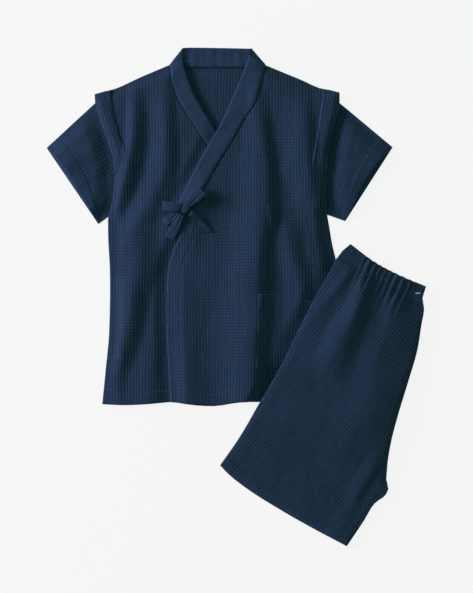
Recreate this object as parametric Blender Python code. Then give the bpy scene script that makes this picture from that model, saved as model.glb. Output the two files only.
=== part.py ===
"""A child's jinbei set of crinkled cotton, laid flat: a wrap top tied in a bow, and shorts folded in half.

Seen from above, +X is to the right, +Y towards the collar and +Z up from the surface that the cloth
lies on. Left and right below are as seen from above. Sizes are in millimetres and become metres when a
mesh is made. Every panel is a net of points inside its outline: a lower face, an upper face a cloth's
thickness above it, and a rim. Each layer has a height function, and what lies on a layer is made from
that layer's heights, moved up.
"""
import math

import bpy
import numpy as np
from mathutils.geometry import delaunay_2d_cdt

MM = 0.001

# Thickness of the cloth and the space between two layers.
WALL = 1.2
DOUBLE_WALL = 2.4
GAP = 0.3
# Room for the flat triangles of one layer over the folds of another.
LOOSE_GAP = 0.85
PATCH_GAP = 0.85
DRAPE_GAP = 0.55

# Heights of the lower faces where the cloth lies flat.
UNDER_LEVEL = WALL + GAP
TUCK_LEVEL = UNDER_LEVEL + WALL + GAP
COLLAR_STEP = DOUBLE_WALL - WALL + GAP

# How far the cloth puffs up between its edges, and the width of the roll at an edge.
PUFF = 2.6
SIDE_ROLL = 22
SHOULDER_ROLL = 16
ARMHOLE_LIFT = 1.6
TUCK_GROOVE = 2.2
SLEEVE_PUFF = 5.0

# Depth of the strips over which one layer presses another flat.
FREE_EDGE_ROLL = 16
COLLAR_ROLL = 18
OVER_EDGE_RISE = 24
FOLD_FADE = 25

# Where the shorts press the top flat: how far beside them, over what width, and to what level.
PRESSED_EDGE = 20
PRESSED_WIDTH = 24
PRESSED_LEVEL = 5.2

# The swell of both fronts below the bow: its middle, direction, reach along and across, and height.
BOW_PULL = (-74, 106)
BOW_PULL_TURN = math.radians(63)
BOW_PULL_LONG = 50
BOW_PULL_WIDE = 26
BOW_PULL_HEIGHT = 6.5

# Colours of the cloth, as linear values, and its roughness.
WAFFLE_NAVY = (0.030, 0.055, 0.125, 1)
PLAIN_NAVY = (0.022, 0.040, 0.085, 1)
CLOTH_ROUGHNESS = 0.9

# Outlines of the top, x and y of points read along each edge.
NECK_LEFT = (-90, 312)
NECK_RIGHT = (40, 311)
COLLAR_TOP_LEFT = (-72, 335)
COLLAR_TOP_RIGHT = (20, 334)
SHOULDER_LEFT = [NECK_LEFT, (-130, 295), (-166, 279), (-178, 276), (-191, 272)]
SHOULDER_RIGHT = [NECK_RIGHT, (59, 303), (86, 292), (117, 279), (124, 278), (139, 274)]
TUCK_FOLD_LEFT = [(-191, 272), (-190, 258), (-185, 241), (-173, 208), (-166, 184), (-164, 164)]
TUCK_FOLD_RIGHT = [(139, 274), (139, 260), (137, 248), (131, 226), (125, 199), (122, 166)]
TUCK_STITCH_LEFT = [(-168, 278), (-166, 250), (-157, 219), (-149, 197), (-146, 177)]
TUCK_STITCH_RIGHT = [(116, 279), (113, 250), (109, 224), (104, 194), (101, 174)]
TUCK_FOOT_LEFT = [(-157.5, 165.3), (-157.2, 168.5)]
TUCK_FOOT_RIGHT = [(112, 166.8), (111.7, 169.5)]
BODY_EDGE_LEFT = [(-164, 164), (-166, 135), (-173, 104)]
BODY_EDGE_RIGHT = [(122, 166), (121, 141), (123, 107)]
ARMHOLE_LEFT = [(-181, 270), (-169, 224), (-160, 186), (-157, 168), (-159, 143), (-169, 108)]
ARMHOLE_RIGHT = [(129, 270), (121, 224), (113, 186), (111, 166), (112, 143), (119, 110)]
SIDE_LEFT = [(-173, 104), (-173, 79), (-171, 43), (-171, -27), (-172, -55), (-175, -86), (-181, -146)]
SIDE_RIGHT = [(123, 107), (126, 91), (129, 72), (134, 51), (141, -40), (147, -143)]
HEM_UNDER = [(-181, -146), (-145, -147), (-125, -146), (-89, -143), (-30, -143), (47, -143)]
HEM_OVER = [(-89, -143), (-77, -144), (-54, -147), (-27, -148), (2, -143), (31, -142), (147, -143)]
FREE_EDGE = [(-58, 119), (-68, 104), (-75, 84), (-87, 57), (-92, 37), (-94, 8), (-94, -44), (-89, -143)]
HIDDEN_EDGE = [(10, 120), (30, 108), (45, 84), (47, 20), (47, -143)]
LEFT_SEAM = [NECK_LEFT, (-87, 290), (-80, 269), (-64, 241), (-42, 208), (-6, 150), (10, 120)]
LEFT_INNER = [COLLAR_TOP_LEFT, (-71, 318), (-67, 300), (-27, 223), (15, 163), (31, 133)]
RIGHT_SEAM = [NECK_RIGHT, (33, 285), (25, 258), (11, 238), (-7, 206), (-23, 181), (-58, 119)]
RIGHT_INNER = [COLLAR_TOP_RIGHT, (16, 320), (-4, 271), (-26, 223), (-45, 191), (-63, 157), (-79, 124)]
POCKET = [(29, 4), (57, 2), (86, -5), (118, -8), (122, -100), (26, -97)]

# Sleeves: the cuff line of each, from the top fold to the underarm.
CUFF_LEFT = [(-256, 200), (-186, 97)]
CUFF_RIGHT = [(211, 201), (147, 101)]
CUFF_STEP = 0.055
SLEEVE_GAP = 1.0
SLEEVE_ACROSS = 9
SLEEVE_ROWS = 8

# Shorts in their own frame: across the waist, then down the leg. The waist corner and the turn place it.
SHORTS_CORNER = (153, 70)
SHORTS_TURN = math.radians(-31)
WAIST_DEPTH = 24
WAIST_TOP = [(0, 0), (28, 3), (60, 3), (88, 0), (117, -4)]
WAIST_RIGHT = [(117, -4), (121, 12)]
SHORTS_LEFT = [(0, 0), (-5, 14), (-5, 53), (-1, 130), (4, 187), (5, 250), (6, 300), (3, 345)]
SHORTS_HEM = [(3, 345), (17, 349), (55, 354), (101, 355), (150, 354), (206, 351)]
SHORTS_RIGHT = [(121, 12), (131, 24), (137, 40), (151, 75), (162, 117), (172, 158), (184, 199), (193, 222),
                (205, 246)]
CROTCH = [(205, 246), (215, 258), (215, 266), (209, 280), (208, 310), (206, 351)]
BAND_SEAM = [(-5, 24), (40, 25), (90, 23), (131, 24)]
HIDDEN_LAYERS = 3
SHORTS_STACK = 4.2
LAYER_GROOVE = 0.8
SHORTS_PUFF = 1.2
SHORTS_EDGE = 9
REST_HEIGHT = PRESSED_LEVEL + WALL + PATCH_GAP + WALL + LOOSE_GAP
DRAPE_WIDTH = 40
BRIDGE_WIDTH = 130
HIDDEN_CELL = 9
HIDDEN_CELL_FLAT = 20

# Gathers of the elastic waist.
GATHER_COUNT = 10
GATHER_START = 22
GATHER_PITCH = 8.8
GATHER_HEIGHT = 2.3
GATHER_LENGTH = 40

# Folds of the under front. Columns: y, x of the ridge, height, width to its left, width to its right.
UNDER_FOLDS = [
    [(285, -138, 1.0, 14, 16), (240, -138, 4.8, 14, 20), (200, -141, 5.6, 14, 20), (155, -149, 5.0, 14, 20),
     (112, -160, 1.0, 12, 16)],
    [(280, -97, 2.0, 20, 18), (219, -96, 4.8, 24, 20), (177, -96, 5.4, 26, 22), (135, -110, 5.6, 30, 28),
     (92, -134, 6.0, 30, 34), (43, -133, 6.2, 34, 36), (-5, -141, 6.4, 28, 28), (-46, -147, 5.8, 26, 28),
     (-80, -157, 4.4, 20, 26), (-115, -168, 2.0, 14, 24)],
    [(30, -112, 0.0, 14, 14), (-30, -113, 0.5, 14, 14), (-110, -118, 1.8, 26, 20), (-147, -118, 2.0, 26, 20)],
]

# Folds of the over front, in the same columns.
OVER_FOLDS = [
    [(290, 26, 0.5, 16, 16), (230, 32, 4.4, 24, 20), (170, 38, 6.2, 44, 22), (120, 37, 7.4, 46, 26),
     (60, 28, 8.6, 48, 28), (-20, 26, 9.2, 60, 28), (-90, 20, 9.2, 54, 28), (-143, 17, 8.0, 50, 28)],
    [(270, 88, 0.5, 30, 18), (225, 92, 5.2, 38, 22), (180, 94, 5.8, 40, 21), (140, 99, 5.2, 32, 20),
     (95, 108, 1.5, 26, 16)],
    [(110, 66, 0.0, 20, 20), (70, 72, 3.6, 24, 22), (30, 82, 4.2, 24, 22), (5, 86, 3.6, 24, 20),
     (-40, 80, 1.0, 20, 20)],
    [(20, -74, 0.5, 14, 26), (-40, -70, 2.0, 16, 30), (-100, -68, 3.2, 18, 32), (-147, -66, 3.4, 18, 32)],
    [(130, 47, 0.0, 7, 9), (112, 47, 1.6, 7, 9), (98, 49, 1.6, 7, 9), (84, 50, 0.0, 7, 9)],
]

# Folds of the shorts in their own frame. Columns: down the leg, across, height, left width, right width.
SHORTS_FOLDS = [
    [(10, 14, 1.0, 12, 12), (40, 17, 2.4, 14, 12), (75, 12, 1.6, 12, 14), (110, 10, 0.0, 12, 14)],
    [(20, 40, 2.0, 12, 12), (40, 44, 4.4, 16, 12), (70, 51, 6.2, 22, 17), (100, 53, 7.0, 26, 28),
     (122, 54, 6.6, 28, 34), (146, 57, 4.4, 28, 36), (180, 62, 0.0, 28, 36)],
    [(20, 82, 2.0, 14, 30), (50, 96, 2.8, 22, 55), (100, 110, 3.0, 32, 65), (174, 134, 2.4, 40, 65),
     (240, 136, 1.4, 50, 60), (352, 124, 0.8, 50, 50)],
    [(215, 176, 0.0, 16, 14), (245, 180, 2.4, 18, 14), (285, 181, 2.2, 18, 14), (340, 184, 0.4, 18, 14)],
]

# Bow: places of the knot and of the pieces that leave it.
TIE_WIDTH = 12.5
TIE_WALL = 1.0
KNOT = (-68, 117)
KNOT_SIZE = (13, 11, 5.5)
KNOT_TURN = math.radians(35)
KNOT_SIDES = 12
KNOT_REACH = KNOT_SIZE[0] / 2 + GAP + 0.4
LOOP_HEIGHT = 3.4
LOOP_PUFF = 1.2
LOOP_UPPER_TIP = (-44, 141)
LOOP_LEFT_TIP = (-98, 121)
TAIL_RIGHT = [(-61, 112), (-52, 104), (-43, 94), (-35, 87)]
TAIL_LOWER = [(-74, 110), (-79, 100), (-84, 89), (-90, 78)]
# How far the ends drop from the knot, and below the highest point of the cloth under them.
TAIL_DROP = 2.2
TAIL_SETTLE = 1.1


def ramp(distance, width):
    """Rises smoothly from 0 to 1 over a width."""
    t = np.clip(np.asarray(distance, float) / width, 0, 1)
    return t * t * (3 - 2 * t)


def through(t, knots, values):
    """A smooth line through values at knots, read at t."""
    knots = np.asarray(knots, float)
    values = np.asarray(values, float)
    slopes = np.gradient(values, knots)
    t = np.clip(t, knots[0], knots[-1])
    k = np.clip(np.searchsorted(knots, t) - 1, 0, len(knots) - 2)
    span = knots[k + 1] - knots[k]
    s = (t - knots[k]) / span
    start = (1 + 2 * s) * (1 - s) ** 2 * values[k] + s * (1 - s) ** 2 * span * slopes[k]
    end = s ** 2 * (3 - 2 * s) * values[k + 1] - s ** 2 * (1 - s) * span * slopes[k + 1]
    return start + end


def curve(points, step=10.0):
    """Points about every step along a smooth line through the given points."""
    points = np.asarray(points, float)
    lengths = np.hypot(*np.diff(points, axis=0).T)
    along = np.concatenate([[0], np.cumsum(lengths)])
    if len(points) == 2:
        count = max(1, round(along[-1] / step))
        return points[0] + np.linspace(0, 1, count + 1)[:, None] * (points[1] - points[0])
    t = np.linspace(0, along[-1], max(2, round(along[-1] / step)) + 1)
    return np.stack([through(t, along, points[:, 0]), through(t, along, points[:, 1])], axis=1)


def join(*lines):
    """One closed outline, anticlockwise, of lines that meet end to end."""
    points = []
    for line in lines:
        for point in line:
            if not points or math.dist(points[-1], point) > 0.5:
                points.append(tuple(point))
    if math.dist(points[0], points[-1]) < 0.5:
        points.pop()
    outline = np.array(points)
    x, y = outline.T
    area = np.sum(x * np.roll(y, -1) - np.roll(x, -1) * y)
    return outline if area > 0 else outline[::-1]


def above(line, level):
    """The points of a line above a level of y."""
    return line[line[:, 1] > level]


def below(line, level):
    """The points of a line below a level of y."""
    return line[line[:, 1] < level]


def inset(outline, distance):
    """The outline moved inwards by a distance, outwards if it is negative."""
    before = outline - np.roll(outline, 1, axis=0)
    after = np.roll(outline, -1, axis=0) - outline
    normals = []
    for edge in (before, after):
        edge = edge / np.hypot(*edge.T)[:, None]
        normals.append(np.stack([-edge[:, 1], edge[:, 0]], axis=1))
    middle = normals[0] + normals[1]
    middle = middle / np.maximum(np.sum(middle * normals[0], axis=1), 0.35)[:, None]
    return outline + middle * distance


def distance_to(x, y, line, closed=False):
    """Distance of each point to a line of points."""
    line = np.asarray(line, float)
    starts = line if closed else line[:-1]
    ends = np.roll(line, -1, axis=0) if closed else line[1:]
    best = np.full(np.shape(x), np.inf)
    for (x0, y0), (x1, y1) in zip(starts, ends):
        dx, dy = x1 - x0, y1 - y0
        t = np.clip(((x - x0) * dx + (y - y0) * dy) / max(dx * dx + dy * dy, 1e-9), 0, 1)
        best = np.minimum(best, np.hypot(x - x0 - t * dx, y - y0 - t * dy))
    return best


def depth_in(x, y, outline):
    """Distance inside an outline, negative outside it."""
    inside = np.zeros(np.shape(x), bool)
    for (x0, y0), (x1, y1) in zip(outline, np.roll(outline, -1, axis=0)):
        if y0 != y1:
            crosses = ((y0 > y) != (y1 > y)) & (x < x0 + (y - y0) * (x1 - x0) / (y1 - y0))
            inside ^= crosses
    return np.where(inside, 1, -1) * distance_to(x, y, outline, closed=True)


def fold_rise(x, y, folds):
    """Height of the soft ridges of a table of folds."""
    total = np.zeros(np.shape(x))
    for rows in folds:
        table = np.array(sorted(rows), float)
        ridge, height, left, right = (through(y, table[:, 0], table[:, column]) for column in (1, 2, 3, 4))
        fade = ramp(y - table[0, 0] + FOLD_FADE, FOLD_FADE) * ramp(table[-1, 0] + FOLD_FADE - y, FOLD_FADE)
        side = x - ridge
        width = np.where(side < 0, left, right)
        total += height * fade * ramp(1 - np.abs(side) / width, 1)
    return total


# The lines of the garment, as smooth runs of points.
shoulder_left = curve(SHOULDER_LEFT)
shoulder_right = curve(SHOULDER_RIGHT)
tuck_fold_left = curve(TUCK_FOLD_LEFT)
tuck_fold_right = curve(TUCK_FOLD_RIGHT)
tuck_stitch_left = curve(TUCK_STITCH_LEFT)
tuck_stitch_right = curve(TUCK_STITCH_RIGHT)
body_edge_left = curve(BODY_EDGE_LEFT)
body_edge_right = curve(BODY_EDGE_RIGHT)
armhole_left = curve(ARMHOLE_LEFT)
armhole_right = curve(ARMHOLE_RIGHT)
side_left = curve(SIDE_LEFT, 14)
side_right = curve(SIDE_RIGHT, 14)
hem_under = curve(HEM_UNDER, 12)
hem_shown = hem_under[hem_under[:, 0] < HEM_OVER[0][0] - 4]
hem_over = curve(HEM_OVER, 12)
free_edge = curve(FREE_EDGE, 12)
left_seam = curve(LEFT_SEAM)
left_inner = curve(LEFT_INNER)
right_seam = curve(RIGHT_SEAM)
right_inner = curve(RIGHT_INNER)

arm_edge_left = np.concatenate([tuck_fold_left, body_edge_left])
arm_edge_right = np.concatenate([tuck_fold_right, body_edge_right])
waist_corner_edge = curve(WAIST_RIGHT)

body = join(shoulder_left[::-1], right_inner[:2], shoulder_right, arm_edge_right, side_right,
            hem_over[::-1], hem_shown[::-1], side_left[::-1], arm_edge_left[::-1])
tuck_foot_left = curve([TUCK_STITCH_LEFT[-1], TUCK_FOLD_LEFT[-1]], 5)
tuck_foot_right = curve([TUCK_STITCH_RIGHT[-1], TUCK_FOLD_RIGHT[-1]], 5)
tuck_left = join(tuck_stitch_left, tuck_foot_left, tuck_fold_left[::-1],
                 [SHOULDER_LEFT[-1], SHOULDER_LEFT[-2]])
tuck_right = join(tuck_stitch_right, tuck_foot_right, tuck_fold_right[::-1],
                  [SHOULDER_RIGHT[-1], SHOULDER_RIGHT[-2]])
over_region = join(right_seam[:1], right_inner, [(-84, 100)], free_edge[2:], hem_over, side_right[::-1],
                   arm_edge_right[::-1], shoulder_right[::-1])


def to_shorts(x, y):
    """Across and down the leg in the shorts' own frame."""
    dx, dy = x - SHORTS_CORNER[0], y - SHORTS_CORNER[1]
    cos, sin = math.cos(SHORTS_TURN), math.sin(SHORTS_TURN)
    return dx * cos + dy * sin, dx * sin - dy * cos


def from_shorts(points):
    """Points of the shorts' own frame, placed beside the top."""
    across, down = np.asarray(points, float).T
    cos, sin = math.cos(SHORTS_TURN), math.sin(SHORTS_TURN)
    x = SHORTS_CORNER[0] + across * cos + down * sin
    y = SHORTS_CORNER[1] + across * sin - down * cos
    return np.stack([x, y], axis=1)


def waist_line():
    """The gathered top edge of the waistband, which dips between its gathers."""
    line = curve(WAIST_TOP, GATHER_PITCH / 4)
    line[:, 1] += 0.45 * gather_wave(line[:, 0])
    return line


def gather_wave(across):
    """The gathers, from 0 between them to their height, fading to the smooth ends of the band."""
    first = ramp(across - GATHER_START, 10)
    last = ramp(GATHER_START + GATHER_COUNT * GATHER_PITCH - across, 10)
    beat = 0.75 + 0.25 * np.cos(across / 7.0)
    uneven = across + 1.8 * np.sin(across / 9.0)
    wave = 0.5 - 0.5 * np.cos(2 * math.pi * (uneven - GATHER_START) / GATHER_PITCH)
    return GATHER_HEIGHT * first * last * beat * wave


shorts_all = join(curve(SHORTS_LEFT, 14), curve(SHORTS_HEM, 14), curve(CROTCH, 7)[::-1],
                  curve(SHORTS_RIGHT, 12)[::-1], waist_corner_edge[::-1], curve(WAIST_TOP)[::-1])
shorts_outline = join(from_shorts(shorts_all))


def edge_roll(x, y):
    """From 0 on the sewn and folded edges of the top to 1 on its panels."""
    side = np.minimum(distance_to(x, y, side_left), distance_to(x, y, side_right))
    arm = np.minimum(distance_to(x, y, arm_edge_left), distance_to(x, y, arm_edge_right))
    shoulder = np.minimum(distance_to(x, y, shoulder_left), distance_to(x, y, shoulder_right))
    inside = depth_in(x, y, body) > -0.5
    return inside * ramp(side, SIDE_ROLL) * ramp(arm, 9) * ramp(shoulder, SHOULDER_ROLL)


def arm_lift(x, y):
    """Lifts the body's edge over the head of each sleeve."""
    arm = np.minimum(distance_to(x, y, arm_edge_left), distance_to(x, y, arm_edge_right))
    return ARMHOLE_LIFT * (1 - ramp(arm - 4, 22))


def bow_pull(x, y):
    """The knot draws both fronts up into a low swell along the free edge."""
    dx, dy = x - BOW_PULL[0], y - BOW_PULL[1]
    along = dx * math.cos(BOW_PULL_TURN) + dy * math.sin(BOW_PULL_TURN)
    across = dy * math.cos(BOW_PULL_TURN) - dx * math.sin(BOW_PULL_TURN)
    return BOW_PULL_HEIGHT * np.exp(-(along / BOW_PULL_LONG) ** 2 - (across / BOW_PULL_WIDE) ** 2)


def under_surface(x, y):
    """Lower face of the under front as it shows, before the tuck and the over front press it down."""
    rise = (PUFF + fold_rise(x, y, UNDER_FOLDS)) * edge_roll(x, y)
    return UNDER_LEVEL + arm_lift(x, y) + bow_pull(x, y) + rise


def under_height(x, y):
    """Lower face of the under front: flat below the over front and below its shoulder tuck."""
    beside_front = ramp(-depth_in(x, y, over_region) - 1.5, FREE_EDGE_ROLL)
    free = beside_front * ramp(-depth_in(x, y, tuck_left) - GAP, TUCK_GROOVE)
    low = UNDER_LEVEL + bow_pull(x, y)
    return low + (under_surface(x, y) - low) * free


def over_surface(x, y):
    """Lower face of the over front as it shows, which flattens out below the shorts."""
    lies_on_under = ramp(distance_to(x, y, side_right), SIDE_ROLL)
    on_collar = ramp(distance_to(x, y, np.concatenate([right_inner[-4:], free_edge[2:]])), OVER_EDGE_RISE)
    level = UNDER_LEVEL + (WALL + GAP) * lies_on_under + COLLAR_STEP * on_collar * lies_on_under
    below_shorts = depth_in(x, y, shorts_outline)
    pressed = 1 - ramp(below_shorts + PRESSED_EDGE, PRESSED_WIDTH)
    edge = 0.25 + 0.75 * on_collar
    rise = (PUFF + fold_rise(x, y, OVER_FOLDS)) * edge_roll(x, y) * pressed * edge
    return level + arm_lift(x, y) + bow_pull(x, y) + rise


def over_height(x, y):
    """Lower face of the over front: flat below its shoulder tuck."""
    free = ramp(-depth_in(x, y, tuck_right) - GAP, TUCK_GROOVE)
    return UNDER_LEVEL + (over_surface(x, y) - UNDER_LEVEL) * free


def collar_top_lift(x, y):
    """Lifts the ends of the front stretches over the back neck stretch."""
    fold_left = distance_to(x, y, [NECK_LEFT, COLLAR_TOP_LEFT])
    fold_right = distance_to(x, y, [NECK_RIGHT, COLLAR_TOP_RIGHT])
    over_neck = ramp(y - 296, 12)
    return (DOUBLE_WALL - WALL + 0.1) * over_neck * (1 - 0.5 * ramp(np.minimum(fold_left, fold_right), 14))


def left_collar_height(x, y):
    """Lower face of the left stretch of the collar, flat where the over front covers it."""
    free = ramp(-depth_in(x, y, over_region) - 1.0, COLLAR_ROLL)
    low = UNDER_LEVEL + bow_pull(x, y)
    return low + (under_surface(x, y) - low) * free + collar_top_lift(x, y)


def right_collar_height(x, y):
    """Lower face of the right stretch of the collar."""
    return over_surface(x, y) + collar_top_lift(x, y)


def pocket_height(x, y):
    """Lower face of the pocket: the over front's points moved out."""
    return over_height(x, y) + WALL + PATCH_GAP


def covered_part(x, y, width):
    """From 1 where the shorts lie on the top to 0 where they lie on the surface, over a width."""
    return 1 - ramp(-depth_in(x, y, body) - 5, width)


def shorts_floor(x, y):
    """Lower face of the shorts: flat on the surface, and draped over the corner of the top."""
    return covered_part(x, y, DRAPE_WIDTH) * REST_HEIGHT


def shorts_bed(x, y):
    """Upper face of the hidden layers, which bridges the edge of the top more softly."""
    return covered_part(x, y, BRIDGE_WIDTH) * REST_HEIGHT + SHORTS_STACK


def flat_height(x, y):
    """The surface that the cloth lies on."""
    return np.zeros(np.shape(x))


def shorts_rise(x, y):
    """Folds and gathers of the shorts above their hidden layers."""
    across, down = to_shorts(x, y)
    edge = ramp(depth_in(x, y, shorts_outline) + 0.5, SHORTS_EDGE)
    folds = (SHORTS_PUFF + fold_rise(across, down, SHORTS_FOLDS)) * ramp(down - 6, 40)
    leaning = across - 0.12 * (down - WAIST_DEPTH)
    gathers = gather_wave(leaning) * (1 - ramp(down - WAIST_DEPTH, GATHER_LENGTH))
    return folds * edge + gathers


def shorts_front_height(x, y):
    """Lower face of the leg and the waistband that show, a little looser where they drape."""
    loose = DRAPE_GAP * ramp(covered_part(x, y, BRIDGE_WIDTH), 0.1)
    return shorts_bed(x, y) + GAP + loose + shorts_rise(x, y)


def cloth(name, colour):
    """A plain fabric material for one piece."""
    material = bpy.data.materials.new(name)
    material.use_nodes = True
    shader = material.node_tree.nodes["Principled BSDF"]
    shader.inputs["Base Color"].default_value = colour
    shader.inputs["Roughness"].default_value = CLOTH_ROUGHNESS
    shader.inputs["Metallic"].default_value = 0
    return material


def add_object(name, points, faces, colour):
    """Makes one closed mesh object from points in millimetres."""
    mesh = bpy.data.meshes.new(name)
    mesh.from_pydata([tuple(float(v) * MM for v in point) for point in points], [], faces)
    mesh.validate()
    mesh.materials.append(cloth(name, colour))
    mesh.shade_smooth()
    mesh.set_sharp_from_angle(angle=math.radians(40))
    thing = bpy.data.objects.new(name, mesh)
    bpy.context.scene.collection.objects.link(thing)
    return thing


def grid_points(outline, cell, turn=0.0, zone=None):
    """Points of a grid inside an outline, at least half a cell from its edge."""
    centre = outline.mean(axis=0)
    reach = np.hypot(*(outline - centre).T).max()
    across = np.arange(-reach, reach, cell[0])
    down = np.arange(-reach, reach, cell[1])
    a, d = (v.ravel() for v in np.meshgrid(across, down))
    x = centre[0] + a * math.cos(turn) + d * math.sin(turn)
    y = centre[1] + a * math.sin(turn) - d * math.cos(turn)
    keep = depth_in(x, y, outline) > 0.45 * cell[0]
    if zone is not None:
        keep &= zone(x, y)
    return np.stack([x[keep], y[keep]], axis=1)


def net(outline, points, seams=(), cell=(10, 10), turn=0.0):
    """Triangles of an outline, the points in it and the seams that its edges follow."""
    keep = np.ones(len(points), bool)
    for seam in seams:
        keep &= distance_to(points[:, 0], points[:, 1], seam) > 0.35 * cell[0]
    runs = [outline, *seams]
    everything = np.concatenate([outline, *seams, points[keep]])
    edges = []
    start = 0
    for run in runs:
        edges += [(start + k, start + k + 1) for k in range(len(run) - 1)]
        start += len(run)
    cos, sin = math.cos(turn), math.sin(turn)
    stretched = np.stack([(everything[:, 0] * cos + everything[:, 1] * sin) / cell[0],
                          (everything[:, 0] * sin - everything[:, 1] * cos) / cell[1]], axis=1)
    face = list(range(len(outline)))[::-1]
    result = delaunay_2d_cdt([tuple(p) for p in stretched], edges, [face], 1, 1e-6)
    flat = np.array([tuple(p) for p in result[0]])
    a, d = flat[:, 0] * cell[0], flat[:, 1] * cell[1]
    plan = np.stack([a * cos + d * sin, a * sin - d * cos], axis=1)
    triangles = []
    for triangle in result[2]:
        (x0, y0), (x1, y1), (x2, y2) = plan[list(triangle)]
        turned = (x1 - x0) * (y2 - y0) - (x2 - x0) * (y1 - y0)
        triangles.append(tuple(triangle) if turned > 0 else tuple(triangle)[::-1])
    return plan, triangles


def rim_loop(triangles):
    """The edges on the rim of a net, each from its start to its end."""
    edges = set()
    for a, b, c in triangles:
        edges |= {(a, b), (b, c), (c, a)}
    return [(a, b) for a, b in edges if (b, a) not in edges]


def panel(name, outline, height, wall, colour, cell=(9, 26), seams=(), turn=0.0, extra=(), zone=None):
    """One wall of cloth: its lower face follows a height function."""
    outline = inset(outline, GAP / 2)
    points = np.concatenate([grid_points(outline, cell, turn, zone), *extra])
    plan, triangles = net(outline, points, seams, cell, turn)
    low = height(plan[:, 0], plan[:, 1])
    top = low + wall
    count = len(plan)
    vertices = [(*p, z) for p, z in zip(plan, low)] + [(*p, z) for p, z in zip(plan, top)]
    faces = [(a, c, b) for a, b, c in triangles]
    faces += [(a + count, b + count, c + count) for a, b, c in triangles]
    faces += [(a, b, b + count, a + count) for a, b in rim_loop(triangles)]
    return add_object(name, vertices, faces, colour)


def groove_lines(tuck, outline):
    """The foot and the top of the step beside a tuck, where it lies on a panel."""
    lines = []
    for out in (GAP, GAP + TUCK_GROOVE):
        line = inset(tuck, -out)
        keep = depth_in(line[:, 0], line[:, 1], outline) > 2.5
        start = np.flatnonzero(keep & ~np.roll(keep, 1))[0]
        run = np.roll(line, -start, axis=0)
        lines.append(run[:np.argmin(np.roll(keep, -start))])
    return lines


def back_panel():
    """The back, flat on the surface, with its lower face on it."""
    neck = curve([NECK_LEFT, (-25, 311.5), NECK_RIGHT])
    outline = join(neck, shoulder_right[:-2], armhole_right, side_right[1:], hem_over[::-1], hem_shown[::-1],
                   side_left[::-1][:-1], armhole_left[::-1], shoulder_left[::-1][2:])
    outline = inset(outline, 0.5)
    return panel("back_panel", outline, flat_height, WALL, WAFFLE_NAVY, cell=(60, 60))


def under_front():
    """The front that passes below the other, flat where it is covered."""
    hidden_edge = curve(HIDDEN_EDGE, 30)
    hem = curve(HEM_UNDER[:4], 12)
    outline = join(left_seam, hidden_edge, [HEM_UNDER[-1]], hem[::-1], side_left[::-1],
                   below(body_edge_left, TUCK_FOOT_LEFT[0][1] - 4)[::-1], TUCK_FOOT_LEFT,
                   above(armhole_left, TUCK_FOOT_LEFT[1][1] + 3)[::-1], shoulder_left[::-1][2:])
    shown = lambda x, y: depth_in(x, y, over_region) < 10
    hidden = grid_points(outline, (36, 36), zone=lambda x, y: depth_in(x, y, over_region) > 20)
    return panel("front_under", outline, under_height, WALL, WAFFLE_NAVY, cell=(8, 22), zone=shown,
                 extra=[hidden], seams=groove_lines(tuck_left, outline))


def over_front():
    """The front that shows whole, from its shoulder to its free edge."""
    outline = join(right_seam, free_edge, hem_over, side_right[::-1],
                   below(body_edge_right, TUCK_FOOT_RIGHT[0][1] - 3)[::-1], TUCK_FOOT_RIGHT,
                   above(armhole_right, TUCK_FOOT_RIGHT[1][1] + 3)[::-1], shoulder_right[::-1][2:])
    return panel("front_over", outline, over_height, WALL, WAFFLE_NAVY, cell=(8, 22),
                 seams=groove_lines(tuck_right, outline))


def collars():
    """The three stretches of the collar band, parted at the two shoulder folds."""
    top_edge = curve([COLLAR_TOP_RIGHT, (-25, 335), (-62, 335.5)], 20)
    back = join(curve([NECK_LEFT, (-25, 311.5), NECK_RIGHT]), top_edge, [COLLAR_TOP_LEFT])
    panel("collar_back_neck", back, flat_height, DOUBLE_WALL, PLAIN_NAVY, cell=(20, 20))
    left = join([COLLAR_TOP_LEFT], left_inner, left_seam[::-1], [NECK_LEFT])
    panel("collar_left", left, left_collar_height, DOUBLE_WALL, PLAIN_NAVY, cell=(9, 14))
    right = join([COLLAR_TOP_RIGHT], right_inner, right_seam[::-1])
    panel("collar_right", right, right_collar_height, DOUBLE_WALL, PLAIN_NAVY, cell=(9, 14))


def tucks():
    """The stitched-down folds that run over the shoulders."""
    on_under = lambda x, y: np.maximum(under_surface(x, y), TUCK_LEVEL)
    on_over = lambda x, y: np.maximum(over_surface(x, y), TUCK_LEVEL)
    panel("shoulder_tuck_left", tuck_left, on_under, DOUBLE_WALL, WAFFLE_NAVY, cell=(8, 16))
    panel("shoulder_tuck_right", tuck_right, on_over, DOUBLE_WALL, WAFFLE_NAVY, cell=(8, 16))


def pocket():
    """The patch pocket, made from the over front's points."""
    outline = join(curve(POCKET[:4]), curve(POCKET[4:], 30))
    return panel("pocket", outline, pocket_height, WALL, WAFFLE_NAVY, cell=(8, 22))


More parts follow.
